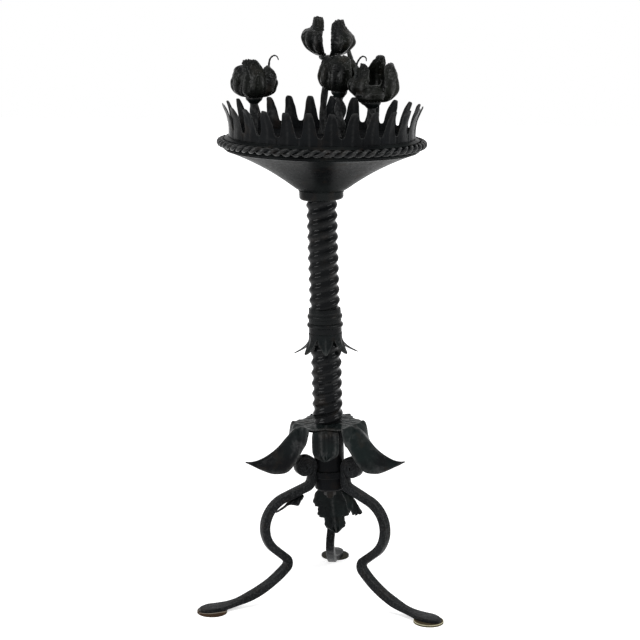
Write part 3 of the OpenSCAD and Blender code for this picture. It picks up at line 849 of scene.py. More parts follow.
def ring_tree() -> bpy.types.NodeTree:
    """Builds the tree that repeats one piece round the vertical axis and joins what touches.

    Returns:
        The tree.
    """
    wire, given = new_group("ring of pieces", {
        "Source": "Object", "Count": "Int", "Start": "Float", "Unevenness": "Float"})
    points = wire.put("GeometryNodePoints", {"Count": given["Count"]})
    source = wire.put("GeometryNodeObjectInfo", {"Object": given["Source"]})
    index = wire.put("GeometryNodeInputIndex").outputs[0]
    angle = wire.plus(given["Start"], wire.over(wire.times(index, math.tau), given["Count"]))
    euler = wire.put("ShaderNodeCombineXYZ", {2: angle})
    turn = wire.put("FunctionNodeEulerToRotation", {0: euler.outputs[0]})
    copies = wire.put("GeometryNodeInstanceOnPoints", {
        "Points": points.outputs[0], "Instance": source.outputs["Geometry"],
        "Rotation": turn.outputs[0]})
    real = wire.put("GeometryNodeRealizeInstances", {"Geometry": copies.outputs[0]})
    merged = wire.put("GeometryNodeMergeByDistance",
                      {"Geometry": real.outputs[0], "Distance": 0.02})
    at = wire.put("GeometryNodeInputPosition").outputs[0]
    drift = wire.put("ShaderNodeTexNoise",
                     {"Vector": at, "Scale": 0.06, "Detail": 1.0, "W": float(SEED)},
                     noise_dimensions="4D").outputs["Color"]
    middle = wire.put("ShaderNodeVectorMath", {0: drift, 1: (0.5, 0.5, 0.5)},
                      operation="SUBTRACT").outputs[0]
    height = wire.calc("ABSOLUTE", wire.put("ShaderNodeSeparateXYZ", {0: at}).outputs[2])
    far = wire.times(wire.between(height, 8.0, 45.0), wire.times(given["Unevenness"], 4.0))
    uneven = wire.put("GeometryNodeSetPosition",
                      {"Geometry": merged.outputs[0], "Offset": wire.scaled(middle, far)})
    return end_group(wire, uneven.outputs[0], given)


def ringed(tree: bpy.types.NodeTree, mesh: bpy.types.Mesh, count: int, start: float,
           finish: Finish, unevenness: float = 0.0) -> bpy.types.Mesh:
    """Repeats a mesh round the vertical axis.

    Args:
        tree: the ring tree.
        mesh: one repeat, pointing along +X.
        count: number of repeats.
        start: turn of the first repeat, in radians.
        finish: finish of the result.
        unevenness: millimetres by which the tips stray from an even ring.

    Returns:
        The ring's mesh.
    """
    source = shown("source", mesh)
    values = {"Source": source, "Count": count, "Start": start, "Unevenness": unevenness}
    made = grown(tree, values, finish)
    bpy.data.objects.remove(source)
    return made


# ---------- Tripod ----------
@dataclass
class Leg:
    """One leg forged from a square bar: rolled scroll, shank, shoulder, knee and spread foot."""

    side: str
    index: int
    pad_finish: Finish
    shoulder_r: float = 56.0
    shoulder_turn: float = 120.0
    thigh: float = 29.5
    knee_r: float = 13.0
    instep_r: float = 193.5
    instep_turn: float = 47.0
    scroll_r: float = 22.0
    scroll_t: float = 5.6
    scroll_turns: float = 2.75
    toe_w: float = 31.0
    toe_t: float = 6.0
    taper_run: float = 56.0
    pad_d: float = 54.0
    pad_t: float = 4.0
    rim_wear: float = 0.0
    glue: float = 0.0
    scroll_up: float = 4.5
    scroll_gap: float = 0.8
    scroll_swell: float = 0.6
    spring: float = 1.5
    taper: Stations = ((0.8, 6.0), (0.65, 7.4), (0.5, 9.0), (0.37, 10.8), (0.25, 13.0),
                       (0.12, 14.6))
    toe_shares: tuple[float, ...] = (0.2, 0.4, 0.6, 0.75, 0.87, 0.95, 1.0)
    toe_reach: float = 0.44
    toe_round: float = 0.93
    corner: float = 0.14
    beat_w: float = 0.03
    beat_t: float = 0.035
    glue_gap: float = 1.0
    glue_w: float = 1.3
    ring_step: float = 1.4

    @staticmethod
    def bend(line: list[Triple], radius: float, turn: float, steps: int) -> None:
        """Carries a line of [out, up, heading] on round an arc.

        Args:
            line: the line, added to in place.
            radius: the arc's radius.
            turn: the arc's turn in degrees, positive to the left.
            steps: points to add.
        """
        x, z, h = line[-1]
        side = radius * math.copysign(1, turn)
        for k in spread(steps + 1, 0, 1)[1:]:
            a = h + turn * k
            line.append((x + side * (math.sin(math.radians(a)) - math.sin(math.radians(h))),
                         z + side * (math.cos(math.radians(h)) - math.cos(math.radians(a))), a))

    @staticmethod
    def run(line: list[Triple], length: float, steps: int) -> None:
        """Carries a line of [out, up, heading] straight on.

        Args:
            line: the line, added to in place.
            length: how far it goes on.
            steps: points to add.
        """
        x, z, h = line[-1]
        way = Vector((math.cos(math.radians(h)), math.sin(math.radians(h))))
        line += [(x + way.x * length * k, z + way.y * length * k, h)
                 for k in spread(steps + 1, 0, 1)[1:]]

    def scroll(self) -> list[tuple[Vector, Vector, float, float]]:
        """Works out the rolled scroll and the taper that leads to it.

        Returns:
            Stations of [centre, thickness axis, width, thickness] from the scroll's eye down.
        """
        face, lift = STAND.leg_face, STAND.leg_z
        centre = Vector((face + self.scroll_r, lift + self.scroll_r + self.scroll_up))
        pitch = self.scroll_t + self.scroll_gap
        out = []
        for k in spread(90, 1, 0):
            a = math.radians(180 - 360 * self.scroll_turns * k)
            rho = self.scroll_r - self.scroll_t / 2 - pitch * self.scroll_turns * k
            axis = Vector((math.cos(a), math.sin(a)))
            out.append((centre + axis * rho, axis, STAND.bar, self.scroll_t + self.scroll_swell))
        for share, t in self.taper:
            at = Vector((face + t / 2, lerp(lift, centre.y, share)))
            out.append((at, Vector((-1, 0)), STAND.bar, t))
        return out

    def stations(self) -> list[tuple[Vector, Vector, float, float]]:
        """Works out the whole bar.

        Returns:
            Stations of [centre, thickness axis, width, thickness], scroll first.
        """
        bar, out = STAND.bar, self.scroll()
        line = [(STAND.leg_face + bar / 2, 0.0, -90.0)]
        self.bend(line, STAND.root_r, 90 - STAND.shank_fall, 8)
        self.run(line, STAND.shank, 12)
        self.bend(line, self.shoulder_r, -self.shoulder_turn, 40)
        self.run(line, self.thigh, 8)
        flat_from = len(line) + 7
        self.bend(line, self.knee_r, self.spring - self.instep_turn - line[-1][2], 16)
        self.bend(line, self.instep_r, self.instep_turn, 44)
        start = STAND.pad_r - self.pad_d / 2 - self.taper_run
        for i, (x, z, h) in enumerate(line):
            a, w, t = math.radians(h), bar, bar
            if i >= flat_from:
                late = (x - start - self.taper_run / 2) / (self.taper_run / 2 + self.pad_d / 2)
                w = lerp(bar, self.toe_w, smooth(late))
                t = lerp(bar, self.toe_t + 2, smooth((x - start) / self.taper_run))
            out.append((Vector((x, z + STAND.leg_z)), Vector((math.sin(a), -math.cos(a))), w, t))
        for k in self.toe_shares:
            t = lerp(self.toe_t + 2, self.toe_t, k)
            at = Vector((STAND.pad_r + self.pad_d * self.toe_reach * k, self.pad_t + 0.05 + t / 2))
            width = self.toe_w * max(0.3, math.sqrt(1 - self.toe_round * k * k))
            out.append((at, Vector((0, -1)), width, t))
        return out

    def forge(self) -> bpy.types.Object:
        """Builds the leg as one bar with soft, rubbed corners.

        Returns:
            The piece.
        """
        rows, wear = [], []
        for i, (centre, axis, w, t) in enumerate(self.stations()):
            w *= 1 + self.beat_w * noise.noise(Vector((i * 0.23, self.index * 5.0, 4.0)))
            t *= 1 + self.beat_t * noise.noise(Vector((i * 0.16, self.index * 7.0, 0)))
            corner = self.corner * min(w, t)
            outline, bare = rounded([(s * w / 2, u * t / 2, corner)
                                     for s, u in ((1, 1), (-1, 1), (-1, -1), (1, -1))], 3)
            rows.append([Vector((centre.x + axis.x * p.y, p.x, centre.y + axis.y * p.y))
                         for p in outline])
            wear.append([b * (0.55 + 0.45 * noise.noise(Vector((i * 0.4, j, self.index))))
                         for j, b in enumerate(bare)])
        mesh = skin(rows, wear, across=True, caps=True)
        return piece(f"forged_leg_{self.side}", mesh, STAND.leg(self.index), Finish.BAR,
                     [f"leg_{self.side}"])

    def pad(self) -> bpy.types.Object:
        """Builds the round pad the foot is stuck to, with its line of glue round the toe.

        Returns:
            The piece.
        """
        r, t = self.pad_d / 2, self.pad_t
        rings = [(r - self.ring_step * k, t, 0.0) for k in range(2, 17)]
        mesh = lathed([(0.001, 0, 0), (r, 0, 0.6), (r, t, 1.4), *rings, (0.001, t, 0)], 96)
        for vert, bare in zip(mesh.vertices, mesh.attributes[WEAR].data):
            end = clamp01(vert.co.x / (self.pad_d * (self.toe_reach + 0.02)))
            edge = self.toe_w / 2 * math.sqrt(1 - self.toe_round * end * end)
            line = hump(abs(vert.co.y) - edge - self.glue_gap, self.glue_w)
            line *= self.glue if vert.co.z > t - 0.5 else 0.0
            bare.value = max(line, self.rim_wear * bare.value)
        place = (STAND.middle @ Matrix.Translation((-STAND.sway, 0, 0))
                 @ turned(STAND.leg_turns[self.index]) @ Matrix.Translation((STAND.pad_r, 0, 0)))
        return piece(f"felt_pad_{self.side}", mesh, place, self.pad_finish,
                     [f"foot_pad_{self.side}"])


@dataclass
class Hub:
    """Round boss that the legs are bound to, with its split band and the canopy's plate."""

    height: float = 119.0
    band_up: float = 24.0
    band_h: float = 12.0
    band_t: float = 3.5
    plate_t: float = 2.4
    plate_r: float = 54.0
    plate_fall: float = 2.2
    fit: float = 0.05
    band_from: float = 17.0
    band_to: float = 103.0

    def boss(self) -> bpy.types.Object:
        """Builds the boss.

        Returns:
            The piece.
        """
        hole, r, low = STAND.rod_hole_r, STAND.hub_r, STAND.hub_low
        top = low + self.height
        mesh = lathed([(hole, low, 0), (r, low, 4), (r, top, 0.8), (hole, top, 0)], 120)
        # Painted shade: the boss is darkened for the shade it stands in under the canopy.
        return piece("hub_boss", mesh, STAND.column, Finish.DARK, ["hub"])

    def band(self) -> bpy.types.Object:
        """Builds the three stretches of the binding band between the legs.

        Returns:
            The piece.
        """
        r, z = STAND.hub_r + self.fit, STAND.hub_low + self.band_up
        out, top = r + self.band_t, z + self.band_h
        outline, bare = rounded([(r, z, 0.4), (out, z, 1.3), (out, top, 1.3), (r, top, 0.4)])
        runs = []
        for start in STAND.leg_turns:
            rows = around(outline, [math.radians(start + lerp(self.band_from, self.band_to, k))
                                    for k in spread(44, 0, 1)])
            runs.append(skin(rows, [bare] * len(rows), across=True, caps=True))
        # Painted shade: the band is darkened like the boss, for the shade under the canopy.
        return piece("hub_binding", joined(runs), STAND.column, Finish.DARK,
                     ["hub_band"])

    def plate(self) -> bpy.types.Object:
        """Builds the round plate the canopy lies on.

        Returns:
            The piece.
        """
        hole, r, wide, t = STAND.rod_hole_r, STAND.hub_r + 5, self.plate_r, self.plate_t
        z = STAND.hub_low + self.height
        low = z - self.plate_fall
        mesh = lathed([(hole, z, 0), (r, z, 1.1), (wide, low, 1.1), (wide, low + t, 1.1),
                       (r, z + t, 1.1), (hole, z + t, 0)])
        return piece("canopy_seat", mesh, STAND.column, Finish.LEAF,
                     ["canopy_plate"])


# ---------- Leaves ----------
@dataclass
class BeatenLeaf:
    """A sheet leaf on stations of [out, up, half-width, fold], with a midrib and side veins."""

    stations: Stations
    along: int
    breadth: int
    midrib: float
    veins: float
    vein_count: float
    ragged: float
    cuts: float = 6.0
    cone: float = 0.0
    cone_end: float = 1.0
    pleats: float = 0.0
    dimples: tuple[tuple[float, float, float], ...] = ()

    def sheet(self) -> bpy.types.Mesh:
        """Builds the leaf along +X.

        Returns:
            The thickened sheet.
        """
        rows, wear = [], []
        steps = spread(self.breadth)
        for i, (out, up, half, fold) in enumerate(eased(self.stations, self.along)):
            u = i / (self.along - 1)
            uneven = noise.noise(Vector((u * 9, out * 0.05, 1)))
            half = max(half, 0.6) * (1 + self.ragged * math.sin(math.tau * u * self.cuts)
                                     + 0.5 * self.ragged * uneven)
            row, bare = [], []
            for v in steps:
                bend = math.radians(fold * (0.75 + 0.35 * abs(v)))
                d = abs(v) * half
                side = d * math.cos(bend)
                slope = self.cone * (math.hypot(out, side) - out)
                slope *= 1 - smooth(out / self.cone_end - 0.8)
                row.append(Vector((out, math.copysign(side, v), up - d * math.sin(bend) - slope)))
                bare.append(max(hump(abs(v) - 1, 0.10) * 0.9, hump(v, 0.07) * 0.65))
            rows.append(row)
            wear.append(bare)
        return thickened(skin(raised_along_normals(rows, self.relief), wear), STAND.leaf_t)

    def relief(self, u: float, v: float) -> float:
        """Works out the beaten pattern.

        Args:
            u: share of the way along the leaf, 0 to 1.
            v: share of the way across it, -1 to 1.

        Returns:
            The pattern's height.
        """
        fade = clamp01(6 * u) * clamp01(6 * (1 - u))
        rib = self.midrib * hump(v, 0.07)
        wave = math.cos(math.tau * (u * self.vein_count - abs(v) * 1.3))
        side = self.veins * wave * (1 - hump(v, 0.2))
        pits = sum(depth * math.exp(-(((u - a) / 0.035) ** 2 + ((v - b) / 0.13) ** 2))
                   for a, b, depth in self.dimples)
        beat = 0.5 * noise.noise(Vector((u * 8, v * 5, self.vein_count)))
        pleat = math.cos(math.tau * 1.6 * (v + 0.1 * math.sin(u * 7)))
        pits += self.pleats * pleat * clamp01(8 * u - 0.4)
        return -(rib + side * fade * (1 - 0.5 * abs(v)) + beat * fade + pits)


@dataclass
class Canopy:
    """Skirt of three wide leaves over three narrow ones, under the column."""

    top: float = 330.1
    reach: float = 164.0
    drop: float = 50.0
    half_w: float = 50.0
    fall: float = 4.0
    slope: float = 0.07
    bract_drop: float = 50.0
    bend: float = 62.0
    pleat: float = 1.5
    pleat_count: float = 1.9
    skirt: Stations = ((8, 13.9), (14, 24.2), (20, 34.6), (25, 42.5), (29, 44.5), (36, 43.5),
                       (42, 41.0), (49, 38.5), (56, 38.0))
    blade: Stations = ((0.00, 0.00, 0.86, 28), (0.06, 0.03, 0.96, 40), (0.20, 0.27, 1.08, 54),
                       (0.36, 0.57, 1.02, 56), (0.55, 0.82, 0.77, 53), (0.74, 0.97, 0.45, 43),
                       (0.90, 1.01, 0.20, 28), (1.00, 0.98, 0.03, 10))

    def sepal(self, index: int, side: str) -> bpy.types.Object:
        """Builds one wide leaf over a leg.

        Args:
            index: the leg's number.
            side: the leg's name.

        Returns:
            The piece.
        """
        stations = [[out, -self.slope * max(0.0, out - STAND.hub_r - 5), half, 0]
                    for out, half in self.skirt]
        stations += [[lerp(self.bend, self.reach, a), -self.fall - self.drop * b,
                      self.half_w * c, d] for a, b, c, d in self.blade]
        leaf = BeatenLeaf(stations, 72, 37, midrib=1.0, veins=0.6, vein_count=8.0,
                          ragged=0.02, cone=self.slope, cone_end=48.0)
        place = (STAND.column @ raised(self.top + 1.5 * STAND.leaf_t)
                 @ turned(STAND.leg_turns[index]))
        return piece(f"wide_leaf_{side}", leaf.sheet(), place, Finish.LEAF,
                     [f"sepal_{side}"])

    def bract(self) -> bpy.types.Mesh:
        """Builds one narrow pleated leaf along +X.

        Returns:
            The thickened sheet.
        """
        bend, fall, drop = self.bend, self.fall, self.bract_drop
        stations = [[12, 0, 7, 0], [STAND.hub_r + 5, 0, 14, 0], [bend - 13, -1.4, 21, 2],
                    [bend - 6, -fall - 1, 24, 6], [bend - 2, -fall - drop * 0.25, 25, 12],
                    [bend + 1, -fall - drop * 0.62, 24, 15],
                    [bend + 5, -fall - drop * 0.82, 15, 14], [bend + 7, -fall - drop, 1.5, 8]]
        rows, wear = [], []
        for i, (out, up, half, fold) in enumerate(eased(stations, 40)):
            u = i / 39
            row, bare = [], []
            for v in spread(37):
                bent = math.radians(fold * (0.75 + 0.35 * abs(v)))
                d = abs(v) * max(half, 0.8)
                wave = math.tau * self.pleat_count * (v + 0.3)
                pleat = self.pleat * smooth((u - 0.25) / 0.3) * math.cos(wave) * (1 - 0.3 * abs(v))
                row.append(Vector((out + pleat, math.copysign(d * math.cos(bent), v),
                                   up - d * math.sin(bent))))
                crest = smooth((u - 0.3) / 0.2) * max(0.0, math.cos(wave / 2)) ** 12
                bare.append(max(0.8 * hump(abs(v) - 1, 0.1), 0.75 * crest))
            rows.append(row)
            wear.append(bare)
        return thickened(skin(rows, wear), STAND.leaf_t)

    def bracts(self) -> bpy.types.Object:
        """Builds the three narrow leaves between the wide ones.

        Returns:
            The piece.
        """
        leaves = [placed(self.bract(), turned(turn + 60)) for turn in STAND.leg_turns]
        place = STAND.column @ raised(self.top + STAND.leaf_t / 2)
        return piece("pleated_leaves", joined(leaves), place, Finish.LEAF,
                     ["canopy_bracts"])


@dataclass
class Acanthus:
    """Leaves under the hub: two small ones along the side shanks and a large hanging one."""

    hang_sway: float = 6.5
    hang_gap: float = 1.32
    hang_line: Stations = ((0, 0, 14, 0), (3, 8, 27, 6), (5, 18, 36, 14), (7, 29, 35, 16),
                           (8.5, 37, 29, 14), (9.5, 46, 32, 16), (11, 55, 29, 15),
                           (12, 63, 19.5, 12), (14, 73, 20, 12), (17, 83, 18.5, 10),
                           (23, 93, 11, 6), (29, 101, 2, 0))
    hang_dimples: tuple[Triple, ...] = ((0.26, -0.62, -2.2), (0.26, 0.62, -2.2),
                                        (0.48, -0.6, -1.8), (0.48, 0.6, -1.8))

    def side_leaf(self, index: int, side: str, shares: Stations) -> bpy.types.Object:
        """Builds one small leaf along the underside of a shank.

        Args:
            index: the leg's number.
            side: the leg's name.
            shares: rows of [place along the shank, drop from it, half-width, fold].

        Returns:
            The piece.
        """
        a = math.radians(STAND.shank_fall)
        way = Vector((math.cos(a), -math.sin(a)))
        start = Vector((STAND.leg_face + STAND.bar / 2, STAND.leg_z))
        h = math.radians(-90)
        end = h + math.radians(90 - STAND.shank_fall)
        start += STAND.root_r * Vector((math.sin(end) - math.sin(h), math.cos(h) - math.cos(end)))
        start -= (STAND.bar + STAND.leaf_t) / 2 * Vector((math.sin(a), math.cos(a)))
        stations = []
        for share, down, half, fold in shares:
            p = start + way * STAND.shank * 1.5 * share
            stations.append([p.x, p.y - down, half, fold])
        leaf = BeatenLeaf(stations, 48, 25, midrib=0.8, veins=0.4, vein_count=4.0,
                          ragged=0.07, cuts=4.0)
        return piece(f"ragged_leaf_{side}", leaf.sheet(), STAND.leg(index), Finish.LEAF,
                     [f"acanthus_{side}"])

    def hanging(self) -> bpy.types.Object:
        """Builds the large veined leaf that hangs down behind the legs.

        Returns:
            The piece.
        """
        root = STAND.hub_r - 8 + STAND.leaf_t
        stations = [[root + out, STAND.hub_low - self.hang_gap - down, half, fold]
                    for out, down, half, fold in self.hang_line]
        leaf = BeatenLeaf(stations, 72, 41, midrib=0.5, veins=0.5, vein_count=5.5,
                          ragged=0.03, cuts=11.0, pleats=1.5, dimples=self.hang_dimples)
        tilt = Matrix.Rotation(math.radians(-self.hang_sway), 4, "X")
        place = (STAND.middle @ turned(STAND.leg_turns[2]) @ raised(STAND.hub_low) @ tilt
                 @ raised(-STAND.hub_low))
        return piece("hanging_leaf", leaf.sheet(), place, Finish.LEAF,
                     ["acanthus_rear"])


CURL_LEAF = ((0.16, 1.8, 6, 4), (0.26, 0.8, 13, 24), (0.36, 0.8, 17, 34), (0.47, 1.2, 15, 34),
             (0.56, 3, 8, 24), (0.68, 7, 3.5, 10), (0.84, 10, 2.5, 5), (0.98, 10, 1.5, 5))
DROOP_LEAF = ((-0.16, 1.6, 6, 10), (0, 0.5, 14, 38), (0.12, 1.5, 24, 56), (0.21, 5, 24, 60),
              (0.29, 9, 22, 58), (0.36, 14, 17, 50), (0.41, 19, 11, 34), (0.45, 25, 1.5, 5))


# ---------- Column ----------
@dataclass
class Column:
    """Two twisted shafts with ring beads, a cuff of leaves and the pan's collar."""

    ring: bpy.types.NodeTree
    low: float = 334.5
    lower_len: float = 165.0
    upper_len: float = 204.0
    shaft_r: float = 27.75
    groove: float = 3.2
    lead: float = 38.2
    bead_r: float = 33.0
    bead_h: float = 18.5
    cuff_leaves: int = 6
    cuff_len: float = 37.0
    cuff_t: float = 2.2
    collar_r: float = 39.5
    collar_h: float = 16.0
    twist_shift: float = 5.5
    groove_share: float = 1.15
    unevenness: float = 1.3
    sleeve_t: float = 1.6
    bead_rise: float = 3.8
    cuff_band: float = 0.18
    cuff_flare: float = 26.0
    cuff_line: Stations = ((0.0, 1.0), (0.12, 0.95), (0.3, 0.74), (0.44, 0.46), (0.5, 0.24))
    collar_round: float = 5.5

    @property
    def bead_z(self) -> float:
        """Height of the lower ring bead's foot."""
        return self.low + self.lower_len

    @property
    def upper_z(self) -> float:
        """Height of the upper shaft's foot."""
        return self.bead_z + 2 * self.bead_h

    def shaft(self, tree: bpy.types.NodeTree, name: str, node: str, z: float,
              length: float) -> bpy.types.Object:
        """Builds one twisted shaft.

        Args:
            tree: the twisted bar's tree.
            name: the piece's name.
            node: the CAD node it stands for.
            z: height of its foot along the column.
            length: its length.

        Returns:
            The piece.
        """
        turn = math.tau * (z - self.low + self.twist_shift) / self.lead
        mesh = grown(tree, {"Length": length, "Radius": self.shaft_r,
                            "Groove": self.groove * self.groove_share, "Lead": self.lead,
                            "Turn": turn, "Unevenness": self.unevenness, "Around": 112,
                            "Up": int(length / 1.25)}, Finish.TWIST)
        return piece(name, mesh, STAND.column @ raised(z), Finish.TWIST, [node],
                     55.0)

    def ring_bead(self, name: str, node: str, z: float, neck: float) -> bpy.types.Object:
        """Builds one ring bead, a slim ridge on a sleeve.

        Args:
            name: the piece's name.
            node: the CAD node it stands for.
            z: height of its foot along the column.
            neck: height of the conical neck on top, nil for none.

        Returns:
            The piece.
        """
        hole, h = STAND.rod_hole_r, self.bead_h
        bore = self.shaft_r + 0.3
        sleeve, top = bore + self.sleeve_t, bore + 1.2
        swell, rise = (2.0, 11.0) if neck else (3.0, h - 4.4)
        crown = min(self.bead_r, sleeve + swell) - swell
        side = [(sleeve, z, 0.5), (sleeve, z + rise - 4.2, 1.2)]
        side += [(crown + swell * math.sin(a), z + rise - self.bead_rise * math.cos(a), 0.0)
                 for a in spread(21, 0.0, math.pi)]
        side += [(top, z + rise + 4.2, 0.6)]
        if neck:
            side += [(top, z + h, 0.5), (bore + 0.5, z + h + neck, 0.4), (bore, z + h + neck, 0),
                     (bore, z + h, 0), (hole, z + h, 0)]
        else:
            side += [(top, z + h, 0.2), (hole, z + h, 0)]
        return piece(name, lathed([(hole, z, 0), *side]), STAND.column, Finish.TURNED,
                     [node])

    def cuff(self) -> bpy.types.Object:
        """Builds the sleeve of hanging leaves under the beads.

        Returns:
            The piece.
        """
        pitch = math.tau / self.cuff_leaves
        sleeve = self.shaft_r + self.cuff_t / 2 + 0.3
        cut = eased(self.cuff_line, 13)
        columns = [(-c, share) for c, share in reversed(cut)] + cut[1:]
        rows, wear = [], []
        for f in spread(22, 0, 1):
            row, bare = [], []
            for c, share in columns:
                k = f * share
                fold = 0.9 * hump(c, 0.06) - 0.9 * hump(abs(c) - 0.22, 0.07)
                r = (sleeve + self.cuff_flare * clamp01((k - 0.2) / 0.8) ** 2.4
                     + fold * smooth((k - 0.1) / 0.4))
                a = c * (1 - 0.42 * clamp01(k - self.cuff_band)) * pitch
                row.append(polar(r, a, -k * self.cuff_len))
                bare.append(max(hump(f - 1, 0.12) * 0.9, 0.5 * hump(c, 0.05) * smooth(k * 2)))
            rows.append(row)
            wear.append(bare)
        mesh = ringed(self.ring, skin(rows, wear), self.cuff_leaves, FRONT, Finish.LEAF)
        self.bend_tips(mesh, sleeve)
        return piece("cuff_of_leaves", thickened(mesh, self.cuff_t),
                     STAND.column @ raised(self.bead_z), Finish.LEAF, ["leaf_cuff"])

    @staticmethod
    def bend_tips(mesh: bpy.types.Mesh, sleeve: float) -> None:
        """Bends the side leaves farther out and down, and the front one in.

        Args:
            mesh: the cuff's sheet, changed in place.
            sleeve: radius of the sleeve that the leaves spring from.
        """
        for vert in mesh.vertices:
            r = vert.co.xy.length
            side, front = abs(vert.co.x) / r, -vert.co.y / r
            reach = max(0.0, r - sleeve - 1.5)
            reach *= -1.1 * front * side - 0.8 * max(0.0, front) ** 6
            vert.co.x, vert.co.y = vert.co.xy * (1 + reach / r)
            vert.co.z -= 0.7 * max(0.0, reach)

    def collar(self) -> bpy.types.Object:
        """Builds the rounded collar, planed level under the pan.

        Returns:
            The piece.
        """
        z, c = self.upper_z + self.upper_len, self.collar_round
        hole, r, h = STAND.rod_hole_r, self.collar_r, self.collar_h
        side = [(r - c + c * math.sin(a), z + c - c * math.cos(a), 0.0)
                for a in spread(16, 0.0, math.pi / 2)]
        mesh = placed(lathed([(hole, z, 0), *side, (r, z + h, 0.5), (hole, z + h, 0)]),
                      STAND.column)
        for vert in mesh.vertices:
            vert.co.z = min(vert.co.z, STAND.pan_z)
        return piece("pan_seat", mesh, Matrix.Identity(4), Finish.TURNED,
                     ["pan_collar"])


# ---------- Pan and crown ----------
@dataclass
class Pan:
    """Trumpet pan with its moulded rim, laid rope and crown of blades."""

    ring: bpy.types.NodeTree
    foot_r: float = 40.5
    rim_r: float = 172.0
    height: float = 72.0
    wall: float = 2.0
    rim_h: float = 20.0
    rope_d: float = 13.6
    rope_turns: int = 32
    blades: int = 26
    crown_h: float = 58.0
    crown_band: float = 11.0
    crown_curl: float = 13.0
    crown_t: float = 2.0
    crown_turn: float = 1.2
    crown_sink: float = 0.5
    crown_uneven: float = 1.6
    trumpet_line: Stations = ((0, 2), (0.07, 7.5), (0.23, 21.5), (0.45, 38.5), (0.70, 54.5),
                              (0.93, 67), (1, 70))
    blade_line: Stations = ((0.0, 1.0), (0.05, 1.0), (0.09, 0.995), (0.12, 0.98), (0.15, 0.945),
                            (0.18, 0.88), (0.21, 0.79), (0.24, 0.68), (0.27, 0.53), (0.30, 0.38),
                            (0.335, 0.22), (0.365, 0.13), (0.40, 0.085), (0.45, 0.065),
                            (0.50, 0.064))

    @property
    def rim_top(self) -> float:
        """Height of the rim band's top above the pan's foot."""
        return self.height + self.rim_h

    @property
    def seat(self) -> float:
        """Height of the crown's seat above the pan's foot."""
        return self.rim_top + 4

    @property
    def crown_r(self) -> float:
        """Radius of the crown's foot."""
        return self.rim_r - 10

    def trumpet(self) -> bpy.types.Object:
        """Builds the flared sheet of the pan.

        Returns:
            The piece.
        """
        wide, foot, hole = self.rim_r - 2.5, self.foot_r, 7.5
        outer = [(lerp(foot, wide, a), b / 70 * self.height, 0.0)
                 for a, b in eased(self.trumpet_line, 56)]
        inner = [(r, z + self.wall * 1.25, 0.0) for r, z, _ in reversed(outer[4:])]
        corners = [(hole, 0, 0), (foot, 0, 0.8), *outer, *inner, (foot - 2, 5, 0), (hole, 5, 0)]
        return piece("trumpet", lathed(corners, 192), STAND.pan, Finish.SHEET,
                     ["pan_cone"])

    def rim(self) -> bpy.types.Object:
        """Builds the rim band with two fine beads at its foot and the sloping flange.

        Returns:
            The piece, dull where it faces the pan's inside.
        """
        r, c, foot = self.rim_r, self.crown_r, self.height + 2.5
        top, seat = self.rim_top, self.seat

        def bead(x: float, z: float, size: float) -> list[Triple]:
            """Half round that stands out at a height."""
            return [(x + size * math.cos(a), z + size * math.sin(a), 0.0)
                    for a in spread(9, -1.4, 1.4)]

        corners = [(r - 2.5, foot, 0), *bead(r, foot + 1.4, 1.5), *bead(r, foot + 4.4, 1.6),
                   (r, top - 1, 0), *bead(r - 1.2, top + 0.2, 1.3), (c + 3, seat, 0.6),
                   (c - 6, seat, 0), (c - 6, seat - 2, 0), (c + 3, seat - 2, 0),
                   (r - 2.5, top - 2, 0)]
        made = piece("moulded_rim", lathed(corners, 192), STAND.pan, Finish.SHEET,
                     ["pan_rim"])
        made.data.materials.append(Finish.DULL.material)
        inside = STAND.pan.inverted()
        for face in made.data.polygons:
            at = inside @ (face.center / MM)
            face.material_index = int(at.xy.length < c + 1)
        return made

    def rope(self) -> bpy.types.Object:
        """Builds the laid rope round the rim.

        Returns:
            The piece.
        """
        mesh = grown(rope_tree(), {
            "Radius": self.rim_r + self.rope_d / 2, "Strand": self.rope_d * 0.27,
            "Offset": self.rope_d * 0.235, "Turns": float(self.rope_turns),
            "Points": self.rope_turns * 20, "Facets": 14}, Finish.ROPE)
        face_out(mesh)
        place = STAND.pan @ raised(self.rim_top - self.rope_d / 2 + 1)
        return piece("laid_rope", mesh, place, Finish.ROPE, ["rope_ring"], 60.0)

    @staticmethod
    def stray(a: float) -> float:
        """Degrees by which the hand-cut blades stray from an even ring at an angle in radians."""
        return (0.91 * math.sin(a) - 1.21 * math.cos(a) + 1.47 * math.sin(2 * a)
                - 1.16 * math.cos(2 * a) - 0.09)

    def crown(self) -> bpy.types.Object:
        """Builds the crown of blades from one blade repeated round the pan.

        Returns:
            The piece.
        """
        pitch = math.tau / self.blades
        band, tall, line = self.crown_band, self.crown_h, self.blade_line
        columns = [(-c, share) for c, share in reversed(line)] + list(line[1:])
        rows, wear = [], []
        for f in spread(17, 0, 1):
            row, bare = [], []
            for c, share in columns:
                h = f * lerp(band, tall, share)
                belly = 0.8 * hump(c, 0.28) - 1.4 * hump(abs(c) - 0.5, 0.02)
                curl = self.crown_curl * clamp01((h - band) / (tall - band)) ** 2
                row.append(polar(self.crown_r + self.crown_t / 2 + curl + belly, c * pitch, h))
                bare.append(max(hump(f - 1, 0.08), 0.45 * hump(c, 0.05)) if abs(c) < 0.46 else 0.1)
            rows.append(row)
            wear.append(bare)
        start = FRONT - math.radians(self.crown_turn) + pitch / 2
        mesh = ringed(self.ring, skin(rows, wear), self.blades, start, Finish.CROWN,
                      self.crown_uneven)
        for vert in mesh.vertices:
            vert.co = turned(self.stray(math.atan2(vert.co.y, vert.co.x))) @ vert.co
        place = STAND.pan @ raised(self.seat - self.crown_sink)
        return piece("blade_crown", thickened(mesh, self.crown_t), place, Finish.CROWN,
                     ["crown"])


